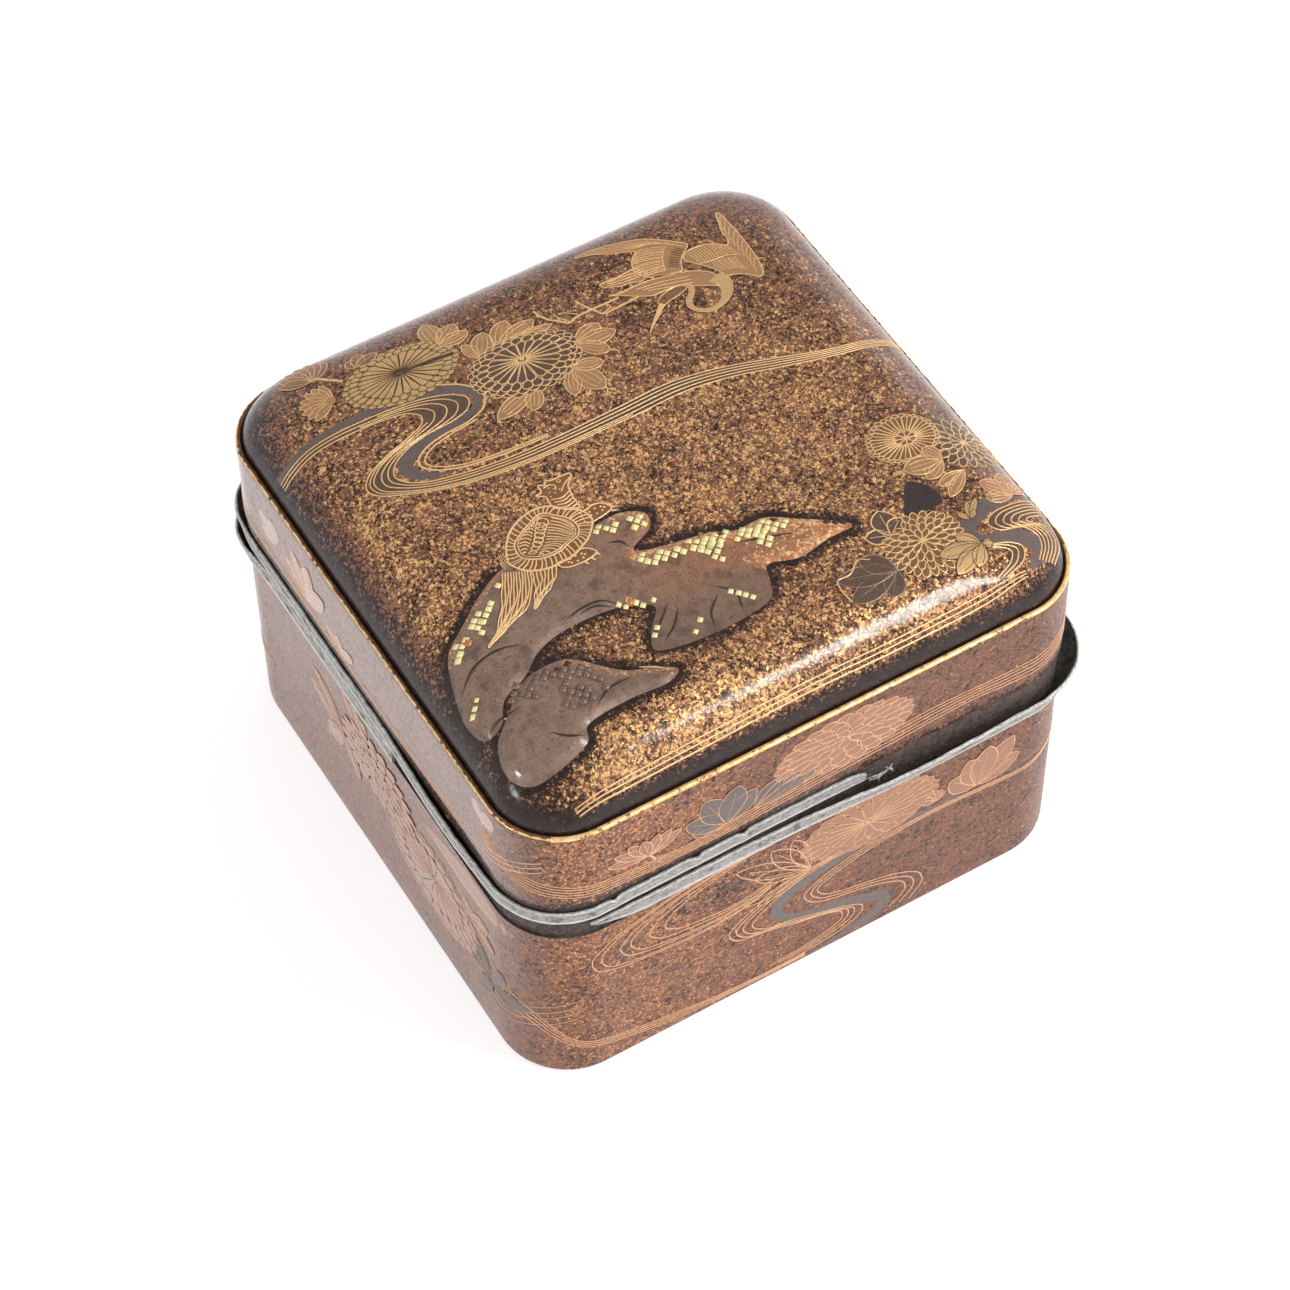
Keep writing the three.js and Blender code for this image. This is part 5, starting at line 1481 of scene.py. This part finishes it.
front_body.streams(
    [(-6.2, 28.6), (-12, 28.7), (-17.7, 28.5), (-22.5, 27.3), (-27.4, 25.4), (-29.9, 22.9),
     (-29.3, 20.5), (-26.4, 19.1), (-21.1, 18.1), (-15.3, 17.6), (-10, 18.1), (-6.2, 19.6)],
    [(-6.2, 28.4), (-9.1, 28.4), (-14.8, 26.8), (-17.6, 25.7), (-19.6, 24.4), (-20.4, 22.7),
     (-18.7, 21), (-16.8, 20.5), (-14.8, 20.2), (-12, 19.9), (-9, 20.3), (-6, 21.2)],
    (0.0, 0.12, 0.38, 0.52, 0.78, 1.0), 0.16, COPPER_LINE)
front_body.chrysanthemum(
    (7.3, 23.6), (9.6, 5.1), [(0.84, 1.0, 26), (0.6, 0.92, 24), (0.05, 0.66, 20)], COPPER_FILL,
    COPPER_LINE, 0.1, lift=0.03, ground=COPPER_FILL, heart=(-0.4, -0.4), seed=14)
front_body.fan((16.2, 20.2), 20, 160, 6, 2.2, 0.9, COPPER_FILL, COPPER_LINE, 0.014)
front_body.leaf(
    (-0.9, 19.6),
    [(-10.9, 26.1, 2.8), (-6.2, 26.9, 2.8), (-3.3, 27.0, 2.4), (-8.4, 23.0, 2.4), (-10.0, 18.5, 2.2),
     (-8.1, 17.3, 1.8)], None, COPPER_LINE, 0.012, veins=1, thin=0.16)
front_body.leaf(
    (22.4, 19.2),
    [(28.2, 21.6, 3.2), (27.2, 25.6, 3.6), (18.4, 22.6, 3.4), (20.9, 25.0, 3.4), (23.8, 26.0, 3.6)],
    COPPER_FILL, COPPER_LINE, 0.012, veins=1, thin=0.15)
front_body.tapered(
    [(41, 21), (32.8, 19.3), (20, 19.1), (11.2, 19.1), (4, 18.6), (-1.3, 17.2), (-4.7, 15.5),
     (-5.2, 13.6), (-3.9, 11.6), (-0.5, 9.9), (3.5, 8.6), (6.8, 7.2), (9.7, 5.4), (9.9, 3.8),
     (7.8, 2.2), (4, 1.2), (0.6, 0.9)],
    [0.4, 0.5, 0.6, 0.7, 0.9, 1.4, 2.4, 3.5, 3.7, 2.8, 1.9, 3.0, 3.6, 3.2, 0.3], GREY_FILL, 0.008)
front_body.streams(
    [(8, 19.9), (2, 19.7), (-3.3, 19.1), (-7.6, 17.4), (-11.7, 14.2), (-10.6, 11.9), (-6.2, 10.7),
     (-3.3, 9.5), (1.5, 8), (4.0, 6.6), (3.9, 5.0), (0.5, 3.6), (-6, 2.8)],
    [(8, 19.4), (2, 19), (-3.0, 17.8), (-6.0, 16.2), (-8.6, 13.6), (-7.0, 11.6), (-2.8, 10.3),
     (0.2, 9.1), (4.9, 7.2), (7.0, 5.6), (6.6, 4.0), (3.6, 2.6), (-2, 1.8)], (0.0, 0.3, 0.6, 1.0), 0.17,
    COPPER_LINE)
front_body.streams(
    [(40, 19.6), (30.4, 17.9), (16, 18.6), (6.4, 17.9), (1, 16.2), (-1.4, 14.3), (-0.4, 12.1),
     (3, 10.4), (6.4, 9.5), (10.2, 8), (12.8, 6.1), (13.0, 4.2), (11, 2.2)],
    [(40, 19.1), (30.4, 17.3), (16, 18.0), (8, 17.2), (3, 15.8), (0.4, 14.2), (1.4, 12.4), (4.8, 10.9),
     (8.2, 10.0), (12, 8.6), (15.0, 6.4), (15.5, 4.2), (13.8, 1.8)], (0.0, 0.5, 1.0), 0.17, COPPER_LINE)
front_body.streams(
    [(-44, 15.5), (-40, 13.6), (-37, 12.1), (-34.6, 9.5), (-32.2, 7), (-27.4, 5.1), (-22.5, 3.9),
     (-15.3, 2.5), (-8, 1.8), (-1, 1.7)],
    [(-44, 12.6), (-40, 11), (-37, 9.6), (-34, 7), (-32, 5.6), (-27, 3.8), (-20, 2.1), (-12, 1.3),
     (-6, 1.1), (-1, 1.1)], (0.0, 0.33, 0.66, 1.0), 0.16, COPPER_LINE)

# Rings of petals that three of the side flowers share
OPEN_FLOWER = [(0.84, 1.0, 26), (0.6, 0.9, 22), (0.05, 0.66, 18)]

# Left side, from the back corner to the front corner
left_lid = Inlay("lid_left", Side(LEFT_MIDDLE), "lid")
left_lid.leaf(
    (-21.4, 40.4), [(-25.7, 42.6, 2.6), (-22.6, 43.9, 2.4), (-25.4, 40, 2.0)], PALE_FILL, None, 0.012)
left_lid.leaf(
    (-14.6, 37.6), [(-19.2, 40.6, 2.8), (-17.2, 43.8, 3.0), (-13.4, 44.4, 3.0), (-9.8, 42.2, 2.8)],
    PALE_FILL, PALE_LINE, 0.012)
left_lid.leaf(
    (-6.4, 36.6), [(-9.5, 38.4, 1.6), (-6.8, 39.2, 1.7), (-3.3, 38.6, 1.6)], PALE_FILL, PALE_LINE,
    0.012, veins=1)
left_lid.streams(
    [(-35.1, 39.2), (-30, 37.8), (-10, 36.6), (10, 37.0), (22, 38.2), (30, 40.8), (36, 43.4)],
    [(-35.1, 37.6), (-30, 36.6), (-10, 35.8), (10, 36.0), (22, 36.8), (30, 39), (36, 41.6)],
    (0.0, 0.5, 1.0), 0.16, PALE_LINE)
left_lid.leaf((27, 43.6), [(25.4, 46.4, 2.2), (29.6, 46.6, 2.4)], PALE_FILL, None, 0.012)
left_body = Inlay("body_left", Side(LEFT_MIDDLE), "box")
left_body.leaf(
    (-8.2, 18.4), [(-16.3, 20.2, 4.0), (-15.0, 24.2, 3.4), (-12.6, 14.0, 3.2), (-5.0, 12.8, 3.2)],
    SOFT_FILL, SOFT_LINE, 0.012)
left_body.leaf(
    (-3.6, 23.4), [(-7.6, 28.0, 2.8), (-4.6, 28.7, 2.6), (-2.0, 27.6, 2.2)], SOFT_FILL, SOFT_LINE,
    0.012)
left_body.leaf(
    (22.5, 18.6), [(21.4, 21.3, 2.4), (26.6, 21.2, 2.6), (28.0, 18.0, 2.4)], SOFT_FILL, SOFT_LINE, 0.02)
left_body.lobe((11.7, 24.6), (32, 26.4), 4.6, SOFT_FILL, SOFT_LINE, 0.012, veins=1)
left_body.leaf(
    (27, 10.8),
    [(20.4, 12.8, 2.6), (23.6, 15.9, 2.6), (29.6, 15.6, 2.6), (33.8, 12.2, 2.4), (24.4, 7.2, 2.4)],
    GREY_FILL, GREY_LINE, 0.012)
left_body.chrysanthemum(
    (13.2, 14.4), (10.8, 7.2), OPEN_FLOWER, SOFT_FILL, SOFT_LINE, 0.09, lift=0.03, ground=SOFT_FILL,
    heart=(0.7, 1.2), seed=18)
left_body.chrysanthemum(
    (0.5, 20.5), (9.1, 5.8), [(0.62, 1.0, 20), (0.34, 0.72, 15), (0.05, 0.42, 9)], SOFT_FILL, SOFT_LINE,
    0.14, lift=0.1, heart=(-0.6, 0.8), seed=16, pointed=0.7)
left_body.streams(
    [(24, 12.4), (30, 11.6), (34, 13.2), (40, 15.6)], [(24, 7.4), (30, 7.4), (34, 9.4), (40, 12)],
    (0.0, 0.33, 0.66, 1.0), 0.16, SOFT_LINE)

# Back and right sides, which the photograph doesn't show, carry the same plants and stream
back_lid = Inlay("lid_back", Side(BACK_MIDDLE), "lid")
back_lid.streams(
    [(-36, 39.6), (-24, 38.6), (-10, 39.8), (4, 41.0), (18, 39.8), (36, 39.4)],
    [(-36, 37.4), (-24, 36.4), (-10, 37.4), (4, 38.8), (18, 37.6), (36, 37.4)],
    (0.0, 0.25, 0.5, 0.75, 1.0), 0.17, COPPER_LINE)
back_lid.leaf(
    (-12, 40.2), [(-15.8, 42.4, 2.4), (-12.9, 45.3, 2.6), (-9.4, 44, 2.4)], COPPER_FILL, COPPER_LINE,
    0.012)
back_lid.chrysanthemum(
    (10, 43), (5.6, 3.8), [(0.78, 1.0, 24), (0.05, 0.84, 20)], COPPER_FILL, COPPER_LINE, 0.09,
    lift=0.03, ground=COPPER_FILL, seed=22)
back_body = Inlay("body_back", Side(BACK_MIDDLE), "box")
back_body.chrysanthemum(
    (-14, 17), (8.6, 7.0), OPEN_FLOWER, COPPER_FILL, COPPER_LINE, 0.09, lift=0.03, ground=COPPER_FILL,
    seed=24)
back_body.leaf(
    (-6.5, 15), [(-1.6, 19.2, 3.2), (0.9, 15.6, 3.2), (-1.3, 12, 2.8)], GREY_FILL, COPPER_LINE, 0.012)
back_body.leaf((-21, 20), [(-23.8, 24.8, 3.0), (-27.2, 21.6, 3.0)], COPPER_FILL, COPPER_LINE, 0.012)
back_body.leaf(
    (16, 21), [(12.6, 25.8, 2.8), (17.2, 26.8, 3.0), (21.6, 24.2, 2.8)], COPPER_FILL, COPPER_LINE,
    0.012)
back_body.streams(
    [(-40, 6), (-24, 5.2), (-8, 7.6), (6, 12.4), (20, 14.2), (34, 12.4), (44, 10.6)],
    [(-40, 3), (-24, 2.2), (-8, 4.2), (6, 9.0), (20, 11.0), (34, 10.4), (44, 10.4)],
    (0.0, 0.2, 0.4, 0.6, 0.8, 1.0), 0.17, COPPER_LINE)
right_lid = Inlay("lid_right", Side(RIGHT_MIDDLE), "lid")
right_lid.leaf(
    (-16, 39), [(-19.6, 41.2, 2.2), (-17.4, 44.2, 2.6), (-13.5, 43.4, 2.4)], COPPER_FILL, COPPER_LINE,
    0.012)
right_lid.fan((4, 38.4), 15, 165, 11, 5.4, 1.4, COPPER_FILL, COPPER_LINE, 0.012, rows=2)
right_lid.streams(
    [(-31.1, 41.0), (-26, 39.6), (-20, 38.4), (0, 37.6), (20, 38.8), (36, 39.4)],
    [(-31.1, 38.2), (-26, 37.2), (-20, 36.4), (0, 35.9), (20, 36.6), (36, 37.4)],
    (0.0, 0.25, 0.5, 0.75, 1.0), 0.17, COPPER_LINE)
right_body = Inlay("body_right", Side(RIGHT_MIDDLE), "box")
right_body.streams(
    [(-31.1, 19.6), (-26, 18.4), (-14, 13.4), (0, 10.4), (16, 12.2), (36, 16)],
    [(-31.1, 19.1), (-26, 16.8), (-14, 10.6), (0, 7.4), (16, 9.2), (36, 13)],
    (0.0, 0.2, 0.4, 0.6, 0.8, 1.0), 0.17, COPPER_LINE)
right_body.chrysanthemum(
    (9, 20.4), (8.2, 6.0), OPEN_FLOWER, COPPER_FILL, COPPER_LINE, 0.09, lift=0.03, ground=COPPER_FILL,
    seed=26)
right_body.leaf(
    (1.5, 18.5), [(-4.5, 20.7, 3.0), (-2.1, 23.6, 3.0), (-3.8, 17.1, 2.4)], GREY_FILL, COPPER_LINE,
    0.012)
right_body.leaf(
    (-18, 22), [(-23, 24.8, 2.8), (-18.6, 27.4, 2.8), (-14, 25.6, 2.8)], COPPER_FILL, COPPER_LINE,
    0.012)
for part in (front_lid, front_body, left_lid, left_body, back_lid, back_body, right_lid, right_body):
    part.finish()

# Drop of old resin in the gap between the strips, on the left side
drop_mark = Inlay("resin_mark", Side(LEFT_MIDDLE), "lid")
drop_mark.dot((18.5, 34.0), 0.45, RESIN, 0.0, 0.6)
drop_mark.finish()


# Floor, surround, lamps and camera
FLOOR_COLOUR = (0.80, 0.78, 0.81, 1)
FLOOR_GLOW = 0.6
FLOOR_REACH = 6.0
FLOOR_STEPS = 24
FLOOR_DROP = 0.00005
LAMP_TARGET = (0, 0, 0.03)
IMAGE_WIDTH = 1290
FOCAL_LENGTH = 3925.71
CAMERA_PLACE = (-0.145776, -0.247568, 0.397240)
CAMERA_WAY = (0.3063, 0.5222, -0.7959)
CAMERA_ROLL = 0.7725


def white_floor():
    """Pale floor that keeps the shadow and shows as white to the camera, to gloss and to glass."""
    mesh = bpy.data.meshes.new("floor")
    axis = np.linspace(-FLOOR_REACH, FLOOR_REACH, FLOOR_STEPS)
    x, y = np.meshgrid(axis, axis, indexing="ij")
    points = np.stack([x.ravel(), y.ravel(), np.full(x.size, -FLOOR_DROP)], 1)
    mesh.from_pydata(points.tolist(), [], grid_faces(FLOOR_STEPS, FLOOR_STEPS).tolist())
    floor = bpy.data.objects.new("floor", mesh)
    bpy.context.scene.collection.objects.link(floor)
    material = bpy.data.materials.new("floor_white")
    tree = empty_tree(material)
    light = add_node(tree, "LightPath").outputs
    seen = light["Is Camera Ray"]
    for ray in ("Is Glossy Ray", "Is Transmission Ray"):
        seen = add_node(tree, "Math", {0: seen, 1: light[ray]}, operation="MAXIMUM").outputs[0]
    level = add_node(tree, "Math", {0: seen, 1: FLOOR_GLOW}, operation="MULTIPLY")
    glow = add_node(tree, "Emission", {"Strength": level.outputs[0]})
    diffuse = add_node(tree, "BsdfDiffuse", {"Color": FLOOR_COLOUR})
    both = add_node(tree, "AddShader", {0: diffuse.outputs[0], 1: glow.outputs[0]})
    add_node(tree, "OutputMaterial", {"Surface": both.outputs[0]})
    mesh.materials.append(material)


def surround():
    """White backdrop for the camera, and for the object a light that is softer from above."""
    world = bpy.data.worlds.new("surround")
    bpy.context.scene.world = world
    tree = empty_tree(world)
    place = add_node(tree, "TexCoord").outputs["Generated"]
    up = add_node(tree, "SeparateXYZ", {0: place}).outputs["Z"]
    height = add_node(tree, "MapRange", {"Value": up, "From Min": 0.25, "From Max": 0.75,
                                         "To Min": 1.0, "To Max": 0.38},
                      interpolation_type="SMOOTHSTEP")
    seen = add_node(tree, "LightPath").outputs["Is Camera Ray"]
    strength = add_node(tree, "Mix", {0: seen, 2: height.outputs[0], 3: 1.0}, data_type="FLOAT")
    back = add_node(tree, "Background", {"Color": (1, 1, 1, 1), "Strength": strength.outputs[0]})
    add_node(tree, "OutputWorld", {"Surface": back.outputs[0]})


def area_lamp(name, direction, distance, size, power):
    """A rectangular lamp that faces the box from a direction and distance."""
    lamp = bpy.data.lights.new(name, "AREA")
    lamp.shape = "RECTANGLE"
    lamp.size, lamp.size_y = size
    lamp.energy = power
    made = bpy.data.objects.new(name, lamp)
    bpy.context.scene.collection.objects.link(made)
    way = Vector(direction).normalized()
    made.location = Vector(LAMP_TARGET) + way * distance
    made.rotation_mode = "QUATERNION"
    made.rotation_quaternion = way.to_track_quat("Z", "Y")


def photo_camera():
    """Camera at the photograph's place, with its focal length in the photograph's pixels."""
    camera = bpy.data.cameras.new("camera")
    camera.sensor_width = 36
    camera.lens = FOCAL_LENGTH / IMAGE_WIDTH * camera.sensor_width
    camera.clip_start, camera.clip_end = 0.01, 50
    view = bpy.data.objects.new("camera", camera)
    bpy.context.scene.collection.objects.link(view)
    forward = Vector(CAMERA_WAY).normalized()
    level = forward.cross(Vector((0, 0, 1))).normalized()
    plumb = level.cross(forward)
    roll = math.radians(CAMERA_ROLL)
    right = level * math.cos(roll) - plumb * math.sin(roll)
    up = plumb * math.cos(roll) + level * math.sin(roll)
    turned = Matrix((right, up, -forward)).transposed().to_4x4()
    view.matrix_world = Matrix.Translation(CAMERA_PLACE) @ turned
    bpy.context.scene.camera = view


white_floor()
surround()
area_lamp("key", (0.43, -0.49, 0.80), 0.7, (0.15, 0.22), 3.3)
area_lamp("back", (0.80, 0.53, 0.30), 0.8, (0.3, 0.26), 0.3)
area_lamp("left", (-0.86, -0.02, 0.51), 0.8, (0.12, 0.12), 0.9)
photo_camera()
bpy.context.scene.view_settings.view_transform = "Standard"

bpy.context.view_layer.update()
